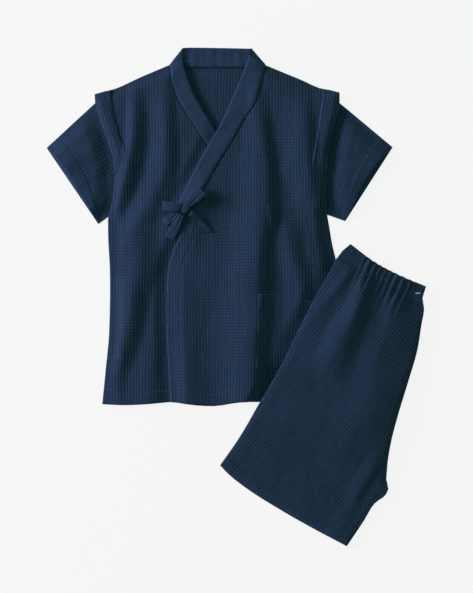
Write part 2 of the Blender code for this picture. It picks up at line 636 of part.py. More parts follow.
def sleeve(name, armhole, cuff):
    """A flat tube: the lower layer on the surface, the upper one puffed over it and a little shorter."""
    t = np.linspace(0, 1, SLEEVE_ACROSS)
    middle = np.mean(cuff, axis=0)
    armhole = curve(armhole, 6)
    armhole = armhole + SLEEVE_GAP * (middle - armhole) / np.hypot(*(middle - armhole).T)[:, None]
    along = np.linspace(0, 1, len(armhole))
    start = np.stack([np.interp(t, along, armhole[:, k]) for k in (0, 1)], axis=1)
    end = np.asarray(cuff[0]) + t[:, None] * (np.asarray(cuff[1], float) - cuff[0])
    width = np.hypot(*(end[-1] - end[0]))
    outer, inner = [], []
    for s in np.linspace(0, 1, SLEEVE_ROWS):
        lower = start + s * (end - start)
        short = s * (1 - CUFF_STEP * ramp(np.minimum(t, 1 - t), 0.12))
        upper = start + short[:, None] * (end - start)
        from_body = -depth_in(upper[:, 0], upper[:, 1], body)
        edge = ramp(np.minimum(t, 1 - t) * width, 22)
        rise = SLEEVE_PUFF * edge * ramp(from_body - 2, 26)
        flat = lower[-1] - lower[0]
        outwards = flat / np.hypot(*flat)
        turn = WALL + GAP / 2
        ring = [(*(lower[0] + outwards * turn), 0)]
        ring += [(*p, 0) for p in lower[1:-1]]
        ring += [(*(lower[-1] - outwards * turn), 0), (*(lower[-1] - outwards * 0.2), turn)]
        ring += [(*(upper[-1] - outwards * turn), 2 * turn)]
        ring += [(*p, 2 * turn + r) for p, r in zip(upper[1:-1], rise[1:-1])][::-1]
        ring += [(*(upper[0] + outwards * turn), 2 * turn), (*(lower[0] + outwards * 0.2), turn)]
        outer.append(ring)
        edge_in = 2 * turn + 0.6
        ring = [(*(lower[0] + outwards * edge_in), WALL)]
        ring += [(*p, WALL) for p in lower[1:-1]]
        ring += [(*(lower[-1] - outwards * edge_in), WALL), (*(lower[-1] - outwards * (edge_in - 0.6)), turn)]
        ring += [(*(upper[-1] - outwards * edge_in), WALL + GAP)]
        ring += [(*p, WALL + GAP + r) for p, r in zip(upper[1:-1], rise[1:-1])][::-1]
        ring += [(*(upper[0] + outwards * edge_in), WALL + GAP)]
        ring += [(*(lower[0] + outwards * (edge_in - 0.6)), turn)]
        inner.append(ring)
    return tube_object(name, outer, inner, WAFFLE_NAVY)


def tube_object(name, outer, inner, colour):
    """A closed wall between an outer and an inner run of rings."""
    size = len(outer[0])
    count = len(outer)
    vertices = [p for ring in outer for p in ring] + [p for ring in inner for p in ring]
    shift = count * size
    faces = []
    for k in range(count - 1):
        for j in range(size):
            a, b = k * size + j, k * size + (j + 1) % size
            faces.append((a, b, b + size, a + size))
            faces.append((shift + a, shift + a + size, shift + b + size, shift + b))
    last = (count - 1) * size
    for j in range(size):
        i = (j + 1) % size
        faces.append((j, shift + j, shift + i, i))
        faces.append((last + j, last + i, shift + last + i, shift + last + j))
    if outer_volume(vertices, faces) < 0:
        faces = [face[::-1] for face in faces]
    return add_object(name, vertices, faces, colour)


def outer_volume(vertices, faces):
    """Signed volume, positive where the faces point out."""
    total = 0.0
    for face in faces:
        first = np.array(vertices[face[0]], float)
        for b, c in zip(face[1:-1], face[2:]):
            total += np.dot(first, np.cross(vertices[b], vertices[c]))
    return total / 6


def layered_stack(name, outline, height, top_height, zone):
    """The hidden layers as one rounded solid, with a groove round it between each two layers."""
    inner = inset(outline, GAP / 2 + LAYER_GROOVE)
    flat = lambda x, y: ~zone(x, y)
    cell = (HIDDEN_CELL, HIDDEN_CELL)
    points = np.concatenate([grid_points(inner, cell, SHORTS_TURN, zone),
                             grid_points(inner, (HIDDEN_CELL_FLAT, HIDDEN_CELL_FLAT), SHORTS_TURN, flat)])
    plan, triangles = net(inner, points, (), cell, SHORTS_TURN)
    rim = dict(rim_loop(triangles))
    order = [next(iter(rim))]
    while rim[order[-1]] != order[0]:
        order.append(rim[order[-1]])
    ring = plan[order]
    low = height(plan[:, 0], plan[:, 1])
    high = top_height(plan[:, 0], plan[:, 1])
    count = len(plan)
    vertices = [(*p, z) for p, z in zip(plan, low)] + [(*p, z) for p, z in zip(plan, high)]
    faces = [(a, c, b) for a, b, c in triangles]
    faces += [(a + count, b + count, c + count) for a, b, c in triangles]
    loops = [order]
    for step in range(1, 2 * HIDDEN_LAYERS):
        out = LAYER_GROOVE if step % 2 else 0
        loops.append(list(range(len(vertices), len(vertices) + len(ring))))
        part = step / (2 * HIDDEN_LAYERS)
        level = (1 - part) * low[order] + part * high[order]
        vertices += [(*p, z) for p, z in zip(inset(ring, -out), level)]
    loops.append([k + count for k in order])
    for lower, upper in zip(loops[:-1], loops[1:]):
        for j in range(len(ring)):
            i = (j + 1) % len(ring)
            faces.append((lower[j], lower[i], upper[i], upper[j]))
    return add_object(name, vertices, faces, WAFFLE_NAVY)


def shorts():
    """The leg that shows, the hidden layers below it, and the gathered waistband."""
    turn = SHORTS_TURN
    draped = lambda x, y: depth_in(x, y, body) > -DRAPE_WIDTH - 10
    bridged = lambda x, y: depth_in(x, y, body) > -30
    layered_stack("shorts_hidden_layers", inset(shorts_outline, 0.4), shorts_floor, shorts_bed, draped)
    seam = curve(BAND_SEAM, GATHER_PITCH / 3)
    left = [p for p in curve(SHORTS_LEFT, 14) if p[1] > WAIST_DEPTH]
    right = [p for p in curve(SHORTS_RIGHT, 12) if p[1] > WAIST_DEPTH + 1]
    leg = join(from_shorts(join(left, curve(SHORTS_HEM, 14), curve(CROTCH, 7)[::-1], right[::-1],
                                seam[::-1])))
    band_edges = (waist_line(), curve(WAIST_RIGHT, 6), BAND_SEAM[-1:], seam[::-1], SHORTS_LEFT[1:2])
    band = join(from_shorts(join(*band_edges)))
    gathered = lambda x, y: to_shorts(x, y)[1] < 52
    smooth = lambda x, y: to_shorts(x, y)[1] > 56
    fine = grid_points(leg, (GATHER_PITCH / 3, 11), turn, gathered)
    middle = grid_points(leg, (9, 9), turn, lambda x, y: bridged(x, y) & smooth(x, y))
    panel("shorts_leg", leg, shorts_front_height, WALL, WAFFLE_NAVY, cell=(9, 22), turn=turn,
          zone=lambda x, y: ~bridged(x, y) & smooth(x, y), extra=[fine, middle])
    panel("shorts_waistband", band, shorts_front_height, DOUBLE_WALL, WAFFLE_NAVY,
          cell=(GATHER_PITCH / 3, 7), turn=turn)


def lying_height(x, y):
    """Top of the cloth that the bow lies on."""
    over = np.maximum(over_surface(x, y) + WALL, right_collar_height(x, y) + DOUBLE_WALL)
    covered = depth_in(x, y, over_region) > -3
    return np.where(covered, over, under_height(x, y) + WALL)


def clear_height(x, y, reach):
    """The highest point of that cloth within a reach."""
    x, y = np.ravel(x), np.ravel(y)
    around = [(0, 0)]
    for angle in np.linspace(0, 2 * math.pi, 12, endpoint=False):
        around += [(part * reach * math.cos(angle), part * reach * math.sin(angle)) for part in (0.5, 1.0)]
    dx, dy = np.array(around).T[:, :, None]
    return lying_height(x + dx, y + dy).max(axis=0)


def ribbon(name, path, widths):
    """A strip of tie along a path of points, level from side to side."""
    path = np.asarray(path, float)
    tangents = np.gradient(path, axis=0)
    overall = path[np.argmax(np.hypot(*(path[:, :2] - path[0, :2]).T)), :2] - path[0, :2]
    side = np.array([-overall[1], overall[0]]) / np.hypot(*overall)
    vertices, faces = [], []
    for point, tangent, width in zip(path, tangents, widths):
        run = math.hypot(*tangent[:2]) * math.copysign(1, np.dot(tangent[:2], overall))
        length = math.hypot(run, tangent[2])
        rise, level = run / length, -tangent[2] / length
        lift = np.array([*(overall / np.hypot(*overall) * level), rise]) * TIE_WALL / 2
        half = np.array([*(side * width / 2), 0])
        vertices += [point - half - lift, point + half - lift, point + half + lift, point - half + lift]
    count = len(path)
    for k in range(count - 1):
        for j in range(4):
            a, b = 4 * k + j, 4 * k + (j + 1) % 4
            faces.append((a, b, b + 4, a + 4))
    faces += [(3, 2, 1, 0), tuple(4 * (count - 1) + j for j in range(4))]
    if outer_volume(vertices, faces) < 0:
        faces = [face[::-1] for face in faces]
    return add_object(name, vertices, faces, PLAIN_NAVY)


def loop(name, tip, width):
    """A tie folded back on itself: out along the cloth, round its tip and back over itself."""
    tip = np.asarray(tip, float)
    away = tip - KNOT
    length = np.hypot(*away)
    away = away / length
    start = KNOT_REACH
    ground = float(clear_height([KNOT[0], tip[0]], [KNOT[1], tip[1]], 8).max())
    low = ground + GAP + TIE_WALL / 2
    half = LOOP_HEIGHT / 2
    reach = length - half
    rows = [(d, low) for d in np.linspace(start, reach, 5)]
    for angle in np.linspace(0, math.pi, 7)[1:-1]:
        rows.append((reach + half * math.sin(angle), low + half - half * math.cos(angle)))
    for d in np.linspace(reach, start, 6):
        rows.append((d, low + LOOP_HEIGHT + LOOP_PUFF * math.sin(math.pi * (d - start) / (reach - start))))
    path = [(KNOT[0] + d * away[0], KNOT[1] + d * away[1], z) for d, z in rows]
    widths = [width * (0.62 + 0.38 * ramp((d - start) / (reach - start), 0.7)) for d, z in rows]
    return ribbon(name, path, widths)


def tail(name, points, width):
    """A free end of a tie, lying on the cloth."""
    line = curve(points, 4)
    x, y = line.T
    ground = clear_height(x, y, width / 2 + 2)
    settled = ramp(np.arange(len(x)) / 4, 1)
    bed = ground + TAIL_DROP * (1 - settled) - TAIL_SETTLE * settled
    path = np.stack([x, y, bed + GAP + TIE_WALL / 2], axis=1)
    return ribbon(name, path, [width * (0.7 + 0.3 * ramp(k / 3, 1)) for k in range(len(x))])


def bow():
    """The knot, its two loops and its two ends."""
    ground = float(clear_height(KNOT[0], KNOT[1], 9).max())
    rows = [(0.0, 0.72), (0.22, 0.96), (0.5, 1.0), (0.78, 0.96), (1.0, 0.72)]
    vertices = []
    for part, size in rows:
        for k in range(KNOT_SIDES):
            angle = 2 * math.pi * k / KNOT_SIDES
            across = math.copysign(abs(math.cos(angle)) ** 0.7, math.cos(angle)) * size * KNOT_SIZE[0] / 2
            deep = math.copysign(abs(math.sin(angle)) ** 0.7, math.sin(angle)) * size * KNOT_SIZE[1] / 2
            x = KNOT[0] + across * math.cos(KNOT_TURN) - deep * math.sin(KNOT_TURN)
            y = KNOT[1] + across * math.sin(KNOT_TURN) + deep * math.cos(KNOT_TURN)
            vertices.append((x, y, ground + GAP + part * KNOT_SIZE[2]))
    top_ring = (len(rows) - 1) * KNOT_SIDES
    faces = [tuple(range(KNOT_SIDES))[::-1], tuple(top_ring + k for k in range(KNOT_SIDES))]
    for row in range(len(rows) - 1):
        for k in range(KNOT_SIDES):
            a, b = row * KNOT_SIDES + k, row * KNOT_SIDES + (k + 1) % KNOT_SIDES
            faces.append((a, b, b + KNOT_SIDES, a + KNOT_SIDES))
    add_object("bow_knot", vertices, faces, PLAIN_NAVY)
    loop("bow_loop_upper", LOOP_UPPER_TIP, TIE_WIDTH + 2.5)
    loop("bow_loop_left", LOOP_LEFT_TIP, TIE_WIDTH)
    tail("bow_tail_right", TAIL_RIGHT, TIE_WIDTH - 2)
    tail("bow_tail_lower", TAIL_LOWER, TIE_WIDTH)


def clear_scene():
    """Removes whatever the file opened with."""
    for thing in list(bpy.data.objects):
        bpy.data.objects.remove(thing, do_unlink=True)


clear_scene()
back_panel()
under_front()
over_front()
collars()
tucks()
pocket()
sleeve("sleeve_left", ARMHOLE_LEFT, CUFF_LEFT)
sleeve("sleeve_right", ARMHOLE_RIGHT, CUFF_RIGHT)
bow()
shorts()
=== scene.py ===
# %% [markdown]
# # A child's jinbei set, laid flat
#
# A jinbei is a summer set of a short-sleeved wrap top and shorts. This one is sewn from navy waffle
# cotton, with a collar and ties of plain cotton. It lies on a table, seen from straight above: the top
# is tied in a bow, and the shorts are folded in half and lie partly on it.
#
# The solids of the frame give the size and place of every piece. Each piece is made again here as finer
# cloth, from the same pattern lines and the same folds, so that the weave can be real relief.

# %% Open the frame
import math

import bpy
import numpy as np
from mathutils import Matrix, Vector
from mathutils.geometry import delaunay_2d_cdt


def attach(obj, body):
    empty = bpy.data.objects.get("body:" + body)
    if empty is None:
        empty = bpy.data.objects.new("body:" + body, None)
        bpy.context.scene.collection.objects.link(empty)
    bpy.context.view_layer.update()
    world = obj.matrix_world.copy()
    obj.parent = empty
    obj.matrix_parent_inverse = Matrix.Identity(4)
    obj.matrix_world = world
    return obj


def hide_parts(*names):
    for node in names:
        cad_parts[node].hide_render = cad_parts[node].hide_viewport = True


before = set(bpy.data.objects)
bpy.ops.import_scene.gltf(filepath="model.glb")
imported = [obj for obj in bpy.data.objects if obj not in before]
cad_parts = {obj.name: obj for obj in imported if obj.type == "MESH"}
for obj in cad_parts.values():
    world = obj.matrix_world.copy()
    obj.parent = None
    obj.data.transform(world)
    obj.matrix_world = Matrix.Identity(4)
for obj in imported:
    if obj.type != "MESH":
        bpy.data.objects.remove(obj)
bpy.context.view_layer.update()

MM = 0.001

# %% [markdown]
# ## The pattern pieces
#
# A tailor works from lines: shoulder, armhole, side, hem. The same lines are listed here in millimetres,
# x to the right and y towards the collar, and made smooth by the next helpers. Left and right are as
# seen from above. Points could be drawn by hand in edit mode, but a list is easier to correct.

# %% Lines of the top
NECK_LEFT = (-90, 312)
NECK_RIGHT = (40, 311)
COLLAR_TOP_LEFT = (-72, 335)
COLLAR_TOP_RIGHT = (20, 334)
SHOULDER_LEFT = [NECK_LEFT, (-130, 295), (-166, 279), (-178, 276), (-191, 272)]
SHOULDER_RIGHT = [NECK_RIGHT, (59, 303), (86, 292), (117, 279), (124, 278), (139, 274)]
TUCK_FOLD_LEFT = [(-191, 272), (-190, 258), (-185, 241), (-173, 208), (-166, 184), (-164, 164)]
TUCK_FOLD_RIGHT = [(139, 274), (139, 260), (137, 248), (131, 226), (125, 199), (122, 166)]
TUCK_STITCH_LEFT = [(-168, 278), (-166, 250), (-157, 219), (-149, 197), (-146, 177)]
TUCK_STITCH_RIGHT = [(116, 279), (113, 250), (109, 224), (104, 194), (101, 174)]
BODY_EDGE_LEFT = [(-164, 164), (-166, 135), (-173, 104)]
BODY_EDGE_RIGHT = [(122, 166), (121, 141), (123, 107)]
ARMHOLE_LEFT = [(-181, 270), (-169, 224), (-160, 186), (-157, 168), (-159, 143), (-169, 108)]
ARMHOLE_RIGHT = [(129, 270), (121, 224), (113, 186), (111, 166), (112, 143), (119, 110)]
SIDE_LEFT = [(-173, 104), (-173, 79), (-171, 43), (-171, -27), (-172, -55), (-175, -86), (-181, -146)]
SIDE_RIGHT = [(123, 107), (126, 91), (129, 72), (134, 51), (141, -40), (147, -143)]
HEM_UNDER = [(-181, -146), (-145, -147), (-125, -146), (-89, -143), (-30, -143), (47, -143)]
HEM_OVER = [(-89, -143), (-77, -144), (-54, -147), (-27, -148), (2, -143), (31, -142), (147, -143)]
FREE_EDGE = [(-58, 119), (-68, 104), (-75, 84), (-87, 57), (-92, 37), (-94, 8), (-94, -44), (-89, -143)]
HIDDEN_EDGE = [(10, 120), (30, 108), (45, 84), (47, 20), (47, -143)]
LEFT_SEAM = [NECK_LEFT, (-87, 290), (-80, 269), (-64, 241), (-42, 208), (-6, 150), (10, 120)]
LEFT_INNER = [COLLAR_TOP_LEFT, (-71, 318), (-67, 300), (-27, 223), (15, 163), (31, 133)]
RIGHT_SEAM = [NECK_RIGHT, (33, 285), (25, 258), (11, 238), (-7, 206), (-23, 181), (-58, 119)]
RIGHT_INNER = [COLLAR_TOP_RIGHT, (16, 320), (-4, 271), (-26, 223), (-45, 191), (-63, 157), (-79, 124)]
BACK_NECK = [NECK_LEFT, (-25, 311.5), NECK_RIGHT]
POCKET = [(29, 4), (57, 2), (86, -5), (118, -8), (122, -100), (26, -97)]
CUFF_LEFT = [(-256, 200), (-186, 97)]
CUFF_RIGHT = [(211, 201), (147, 101)]
print("lines of the top listed")

# %% Lines of the shorts
# Their own frame runs across the waist and down the leg; the corner and the turn place it.
SHORTS_CORNER = (153, 70)
SHORTS_TURN = math.radians(-31)
WAIST_DEPTH = 24
WAIST_TOP = [(0, 0), (28, 3), (60, 3), (88, 0), (117, -4)]
WAIST_RIGHT = [(117, -4), (121, 12)]
SHORTS_LEFT = [(0, 0), (-5, 14), (-5, 53), (-1, 130), (4, 187), (5, 250), (6, 300), (3, 345)]
SHORTS_HEM = [(3, 345), (17, 349), (55, 354), (101, 355), (150, 354), (206, 351)]
SHORTS_RIGHT = [(121, 12), (131, 24), (137, 40), (151, 75), (162, 117), (172, 158), (184, 199), (193, 222),
                (205, 246)]
CROTCH = [(205, 246), (215, 258), (215, 266), (209, 280), (208, 310), (206, 351)]
BAND_SEAM = [(-5, 24), (40, 25), (90, 23), (131, 24)]
print("lines of the shorts listed")

# %% [markdown]
# ## The folds
#
# Cloth that has been worn and laid down keeps soft ridges. Each one is a row of points: how far up the
# garment, where the ridge runs, how high it stands, and how wide it is on either side. The shading of
# the photograph says where they are, since the light comes from the left. They could be painted as a
# bump, but only real height gives a true outline and a true shadow.

# %% Folds of the top
# Columns: y, x of the ridge, height, width to its left, width to its right.
UNDER_FOLDS = [
    [(285, -138, 1.0, 14, 16), (240, -138, 4.8, 14, 20), (200, -141, 5.6, 14, 20), (155, -149, 5.0, 14, 20),
     (112, -160, 1.0, 12, 16)],
    [(280, -97, 2.0, 20, 18), (219, -96, 4.8, 24, 20), (177, -96, 5.4, 26, 22), (135, -110, 5.6, 30, 28),
     (92, -134, 6.0, 30, 34), (43, -133, 6.2, 34, 36), (-5, -141, 6.4, 28, 28), (-46, -147, 5.8, 26, 28),
     (-80, -157, 4.4, 20, 26), (-115, -168, 2.0, 14, 24)],
    [(30, -112, 0.0, 14, 14), (-30, -113, 0.5, 14, 14), (-110, -118, 1.8, 26, 20), (-147, -118, 2.0, 26, 20)],
]
OVER_FOLDS = [
    [(290, 26, 0.5, 16, 16), (230, 32, 4.4, 24, 20), (170, 38, 6.2, 44, 22), (120, 37, 7.4, 46, 26),
     (60, 28, 8.6, 48, 28), (-20, 26, 9.2, 60, 28), (-90, 20, 9.2, 54, 28), (-143, 17, 8.0, 50, 28)],
    [(270, 88, 0.5, 30, 18), (225, 92, 5.2, 38, 22), (180, 94, 5.8, 40, 21), (140, 99, 5.2, 32, 20),
     (95, 108, 1.5, 26, 16)],
    [(110, 66, 0.0, 20, 20), (70, 72, 3.6, 24, 22), (30, 82, 4.2, 24, 22), (5, 86, 3.6, 24, 20),
     (-40, 80, 1.0, 20, 20)],
    [(20, -74, 0.5, 14, 26), (-40, -70, 2.0, 16, 30), (-100, -68, 3.2, 18, 32), (-147, -66, 3.4, 18, 32)],
    [(130, 47, 0.0, 7, 9), (112, 47, 1.6, 7, 9), (98, 49, 1.6, 7, 9), (84, 50, 0.0, 7, 9)],
]
print("ridges on the top:", len(UNDER_FOLDS) + len(OVER_FOLDS))

# %% Folds of the shorts
# Columns in the shorts' own frame: down the leg, across, height, width to the left, width to the right.
SHORTS_FOLDS = [
    [(10, 14, 1.0, 12, 12), (40, 17, 2.4, 14, 12), (75, 12, 1.6, 12, 14), (110, 10, 0.0, 12, 14)],
    [(20, 40, 2.0, 12, 12), (40, 44, 4.4, 16, 12), (70, 51, 6.2, 22, 17), (100, 53, 7.0, 26, 28),
     (122, 54, 6.6, 28, 34), (146, 57, 4.4, 28, 36), (180, 62, 0.0, 28, 36)],
    [(20, 82, 2.0, 14, 30), (50, 96, 2.8, 22, 55), (100, 110, 3.0, 32, 65), (174, 134, 2.4, 40, 65),
     (240, 136, 1.4, 50, 60), (352, 124, 0.8, 50, 50)],
    [(215, 176, 0.0, 16, 14), (245, 180, 2.4, 18, 14), (285, 181, 2.2, 18, 14), (340, 184, 0.4, 18, 14)],
]
GATHER_COUNT = 10
GATHER_START = 22
GATHER_PITCH = 8.8
GATHER_HEIGHT = 2.3
GATHER_LENGTH = 40
print("ridges on the shorts:", len(SHORTS_FOLDS), "and", GATHER_COUNT, "gathers")

# %% [markdown]
# ## Helpers for lines
#
# These few functions do what a curve tool does: draw a smooth line through points, join lines into an
# outline, and tell how far any point is from a line. They work on whole arrays at once, because each
# panel has tens of thousands of points.

# %% Smooth lines and distances
def ramp(distance, width):
    """Rises smoothly from 0 to 1 over a width."""
    t = np.clip(np.asarray(distance, float) / width, 0, 1)
    return t * t * (3 - 2 * t)


def through(t, knots, values):
    """A smooth line through values at knots, read at t."""
    knots = np.asarray(knots, float)
    values = np.asarray(values, float)
    slopes = np.gradient(values, knots)
    t = np.clip(t, knots[0], knots[-1])
    k = np.clip(np.searchsorted(knots, t) - 1, 0, len(knots) - 2)
    span = knots[k + 1] - knots[k]
    s = (t - knots[k]) / span
    start = (1 + 2 * s) * (1 - s) ** 2 * values[k] + s * (1 - s) ** 2 * span * slopes[k]
    end = s ** 2 * (3 - 2 * s) * values[k + 1] - s ** 2 * (1 - s) * span * slopes[k + 1]
    return start + end


def curve(points, step=10.0):
    """Points about every step along a smooth line through the given points."""
    points = np.asarray(points, float)
    along = np.concatenate([[0], np.cumsum(np.hypot(*np.diff(points, axis=0).T))])
    if len(points) == 2:
        count = max(1, round(along[-1] / step))
        return points[0] + np.linspace(0, 1, count + 1)[:, None] * (points[1] - points[0])
    t = np.linspace(0, along[-1], max(2, round(along[-1] / step)) + 1)
    return np.stack([through(t, along, points[:, 0]), through(t, along, points[:, 1])], axis=1)


def join(*lines):
    """One closed outline, anticlockwise, of lines that meet end to end."""
    points = []
    for line in lines:
        for point in line:
            if not points or math.dist(points[-1], point) > 0.5:
                points.append(tuple(point))
    if math.dist(points[0], points[-1]) < 0.5:
        points.pop()
    outline = np.array(points)
    x, y = outline.T
    area = np.sum(x * np.roll(y, -1) - np.roll(x, -1) * y)
    return outline if area > 0 else outline[::-1]


def distance_to(x, y, line, closed=False):
    """Distance of each point to a line of points."""
    line = np.asarray(line, float)
    starts = line if closed else line[:-1]
    ends = np.roll(line, -1, axis=0) if closed else line[1:]
    best = np.full(np.shape(x), np.inf)
    for (x0, y0), (x1, y1) in zip(starts, ends):
        dx, dy = x1 - x0, y1 - y0
        t = np.clip(((x - x0) * dx + (y - y0) * dy) / max(dx * dx + dy * dy, 1e-9), 0, 1)
        best = np.minimum(best, np.hypot(x - x0 - t * dx, y - y0 - t * dy))
    return best


def depth_in(x, y, outline):
    """Distance inside an outline, negative outside it."""
    inside = np.zeros(np.shape(x), bool)
    for (x0, y0), (x1, y1) in zip(outline, np.roll(outline, -1, axis=0)):
        if y0 != y1:
            inside ^= ((y0 > y) != (y1 > y)) & (x < x0 + (y - y0) * (x1 - x0) / (y1 - y0))
    return np.where(inside, 1, -1) * distance_to(x, y, outline, closed=True)


def inset(outline, distance):
    """The outline moved inwards by a distance, outwards if it is negative."""
    normals = []
    for edge in (outline - np.roll(outline, 1, axis=0), np.roll(outline, -1, axis=0) - outline):
        edge = edge / np.hypot(*edge.T)[:, None]
        normals.append(np.stack([-edge[:, 1], edge[:, 0]], axis=1))
    middle = normals[0] + normals[1]
    middle = middle / np.maximum(np.sum(middle * normals[0], axis=1), 0.35)[:, None]
    return outline + middle * distance


def area_of(outline):
    """Area inside an outline, in square millimetres."""
    x, y = np.asarray(outline, float).T
    return abs(np.sum(x * np.roll(y, -1) - np.roll(x, -1) * y)) / 2


print("a ramp is halfway at", float(ramp(5, 10)))

# %% [markdown]
# ## Outlines and heights of the layers
#
# Each layer of cloth has a height function, the level of its lower face at any point. It starts from the
# layer below, adds the puff and the ridges, and goes flat towards a seam or where another layer presses
# on it. The layers then stay clear of each other by design.

# %% Outlines of the top
shoulder_left = curve(SHOULDER_LEFT)
shoulder_right = curve(SHOULDER_RIGHT)
arm_edge_left = np.concatenate([curve(TUCK_FOLD_LEFT), curve(BODY_EDGE_LEFT)])
arm_edge_right = np.concatenate([curve(TUCK_FOLD_RIGHT), curve(BODY_EDGE_RIGHT)])
side_left = curve(SIDE_LEFT, 14)
side_right = curve(SIDE_RIGHT, 14)
hem_under = curve(HEM_UNDER, 12)
hem_shown = hem_under[hem_under[:, 0] < HEM_OVER[0][0] - 4]
hem_over = curve(HEM_OVER, 12)
free_edge = curve(FREE_EDGE, 12)
right_seam = curve(RIGHT_SEAM)
right_inner = curve(RIGHT_INNER)
body = join(shoulder_left[::-1], right_inner[:2], shoulder_right, arm_edge_right, side_right,
            hem_over[::-1], hem_shown[::-1], side_left[::-1], arm_edge_left[::-1])
tuck_foot_left = curve([TUCK_STITCH_LEFT[-1], TUCK_FOLD_LEFT[-1]], 5)
tuck_foot_right = curve([TUCK_STITCH_RIGHT[-1], TUCK_FOLD_RIGHT[-1]], 5)
tuck_left = join(curve(TUCK_STITCH_LEFT), tuck_foot_left, curve(TUCK_FOLD_LEFT)[::-1],
                 [SHOULDER_LEFT[-1], SHOULDER_LEFT[-2]])
tuck_right = join(curve(TUCK_STITCH_RIGHT), tuck_foot_right, curve(TUCK_FOLD_RIGHT)[::-1],
                  [SHOULDER_RIGHT[-1], SHOULDER_RIGHT[-2]])
over_region = join(right_seam[:1], right_inner, [(-84, 100)], free_edge[2:], hem_over, side_right[::-1],
                   arm_edge_right[::-1], shoulder_right[::-1])
print("area of the top as it lies:", round(area_of(body) / 1e6, 3), "square metres")


# %% Outlines of the shorts
def to_shorts(x, y):
    """Across and down the leg in the shorts' own frame."""
    dx, dy = x - SHORTS_CORNER[0], y - SHORTS_CORNER[1]
    cos, sin = math.cos(SHORTS_TURN), math.sin(SHORTS_TURN)
    return dx * cos + dy * sin, dx * sin - dy * cos


def from_shorts(points):
    """Points of the shorts' own frame, placed beside the top."""
    across, down = np.asarray(points, float).T
    cos, sin = math.cos(SHORTS_TURN), math.sin(SHORTS_TURN)
    x = SHORTS_CORNER[0] + across * cos + down * sin
    y = SHORTS_CORNER[1] + across * sin - down * cos
    return np.stack([x, y], axis=1)


shorts_outline = join(from_shorts(join(
    curve(SHORTS_LEFT, 14), curve(SHORTS_HEM, 14), curve(CROTCH, 7)[::-1], curve(SHORTS_RIGHT, 12)[::-1],
    curve(WAIST_RIGHT)[::-1], curve(WAIST_TOP)[::-1])))
print("area of the folded shorts:", round(area_of(shorts_outline) / 1e6, 3), "square metres")

# %% Heights of the top's layers
WALL = 1.2
DOUBLE_WALL = 2.4
GAP = 0.3
LOOSE_GAP = 0.85
PATCH_GAP = 0.85
UNDER_LEVEL = WALL + GAP
TUCK_LEVEL = UNDER_LEVEL + WALL + GAP
COLLAR_STEP = DOUBLE_WALL - WALL + GAP
PUFF = 2.6
SIDE_ROLL = 22
SHOULDER_ROLL = 16
ARMHOLE_LIFT = 1.6
FOLD_FADE = 25
TUCK_COVER = 3.0
PRESSED_EDGE = 20
PRESSED_WIDTH = 24
PRESSED_LEVEL = 5.2
# The swell of both fronts below the bow: its middle, direction, reach along and across, and height.
BOW_PULL = (-74, 106)
BOW_PULL_TURN = math.radians(63)
BOW_PULL_LONG = 50
BOW_PULL_WIDE = 26
BOW_PULL_HEIGHT = 6.5


def fold_rise(x, y, folds):
    """Height of the soft ridges of a table of folds."""
    total = np.zeros(np.shape(x))
    for rows in folds:
        table = np.array(sorted(rows), float)
        ridge, height, left, right = (through(y, table[:, 0], table[:, column]) for column in (1, 2, 3, 4))
        fade = ramp(y - table[0, 0] + FOLD_FADE, FOLD_FADE) * ramp(table[-1, 0] + FOLD_FADE - y, FOLD_FADE)
        side = x - ridge
        total += height * fade * ramp(1 - np.abs(side) / np.where(side < 0, left, right), 1)
    return total


def arm_distance(x, y):
    """Distance to the nearer of the two arm edges."""
    return np.minimum(distance_to(x, y, arm_edge_left), distance_to(x, y, arm_edge_right))


def edge_roll(x, y):
    """From 0 on the sewn and folded edges of the top to 1 on its panels."""
    side = np.minimum(distance_to(x, y, side_left), distance_to(x, y, side_right))
    shoulder = np.minimum(distance_to(x, y, shoulder_left), distance_to(x, y, shoulder_right))
    inside = depth_in(x, y, body) > -0.5
    return inside * ramp(side, SIDE_ROLL) * ramp(arm_distance(x, y), 9) * ramp(shoulder, SHOULDER_ROLL)


def arm_lift(x, y):
    """Lifts the body's edge over the head of each sleeve."""
    return ARMHOLE_LIFT * (1 - ramp(arm_distance(x, y) - 4, 22))


def bow_pull(x, y):
    """The knot draws both fronts up into a low swell along the free edge."""
    dx, dy = x - BOW_PULL[0], y - BOW_PULL[1]
    along = dx * math.cos(BOW_PULL_TURN) + dy * math.sin(BOW_PULL_TURN)
    across = dy * math.cos(BOW_PULL_TURN) - dx * math.sin(BOW_PULL_TURN)
    return BOW_PULL_HEIGHT * np.exp(-(along / BOW_PULL_LONG) ** 2 - (across / BOW_PULL_WIDE) ** 2)


def under_surface(x, y):
    """The under front as it shows, before the tuck and the over front press it down."""
    rise = (PUFF + fold_rise(x, y, UNDER_FOLDS)) * edge_roll(x, y)
    return UNDER_LEVEL + arm_lift(x, y) + bow_pull(x, y) + rise


def under_height(x, y):
    """The under front: flat below the over front and below its shoulder tuck."""
    beside_front = ramp(-depth_in(x, y, over_region) - 1.5, 16)
    free = beside_front * ramp(TUCK_COVER - depth_in(x, y, tuck_left), 0.6 * TUCK_COVER)
    low = UNDER_LEVEL + bow_pull(x, y)
    return low + (under_surface(x, y) - low) * free


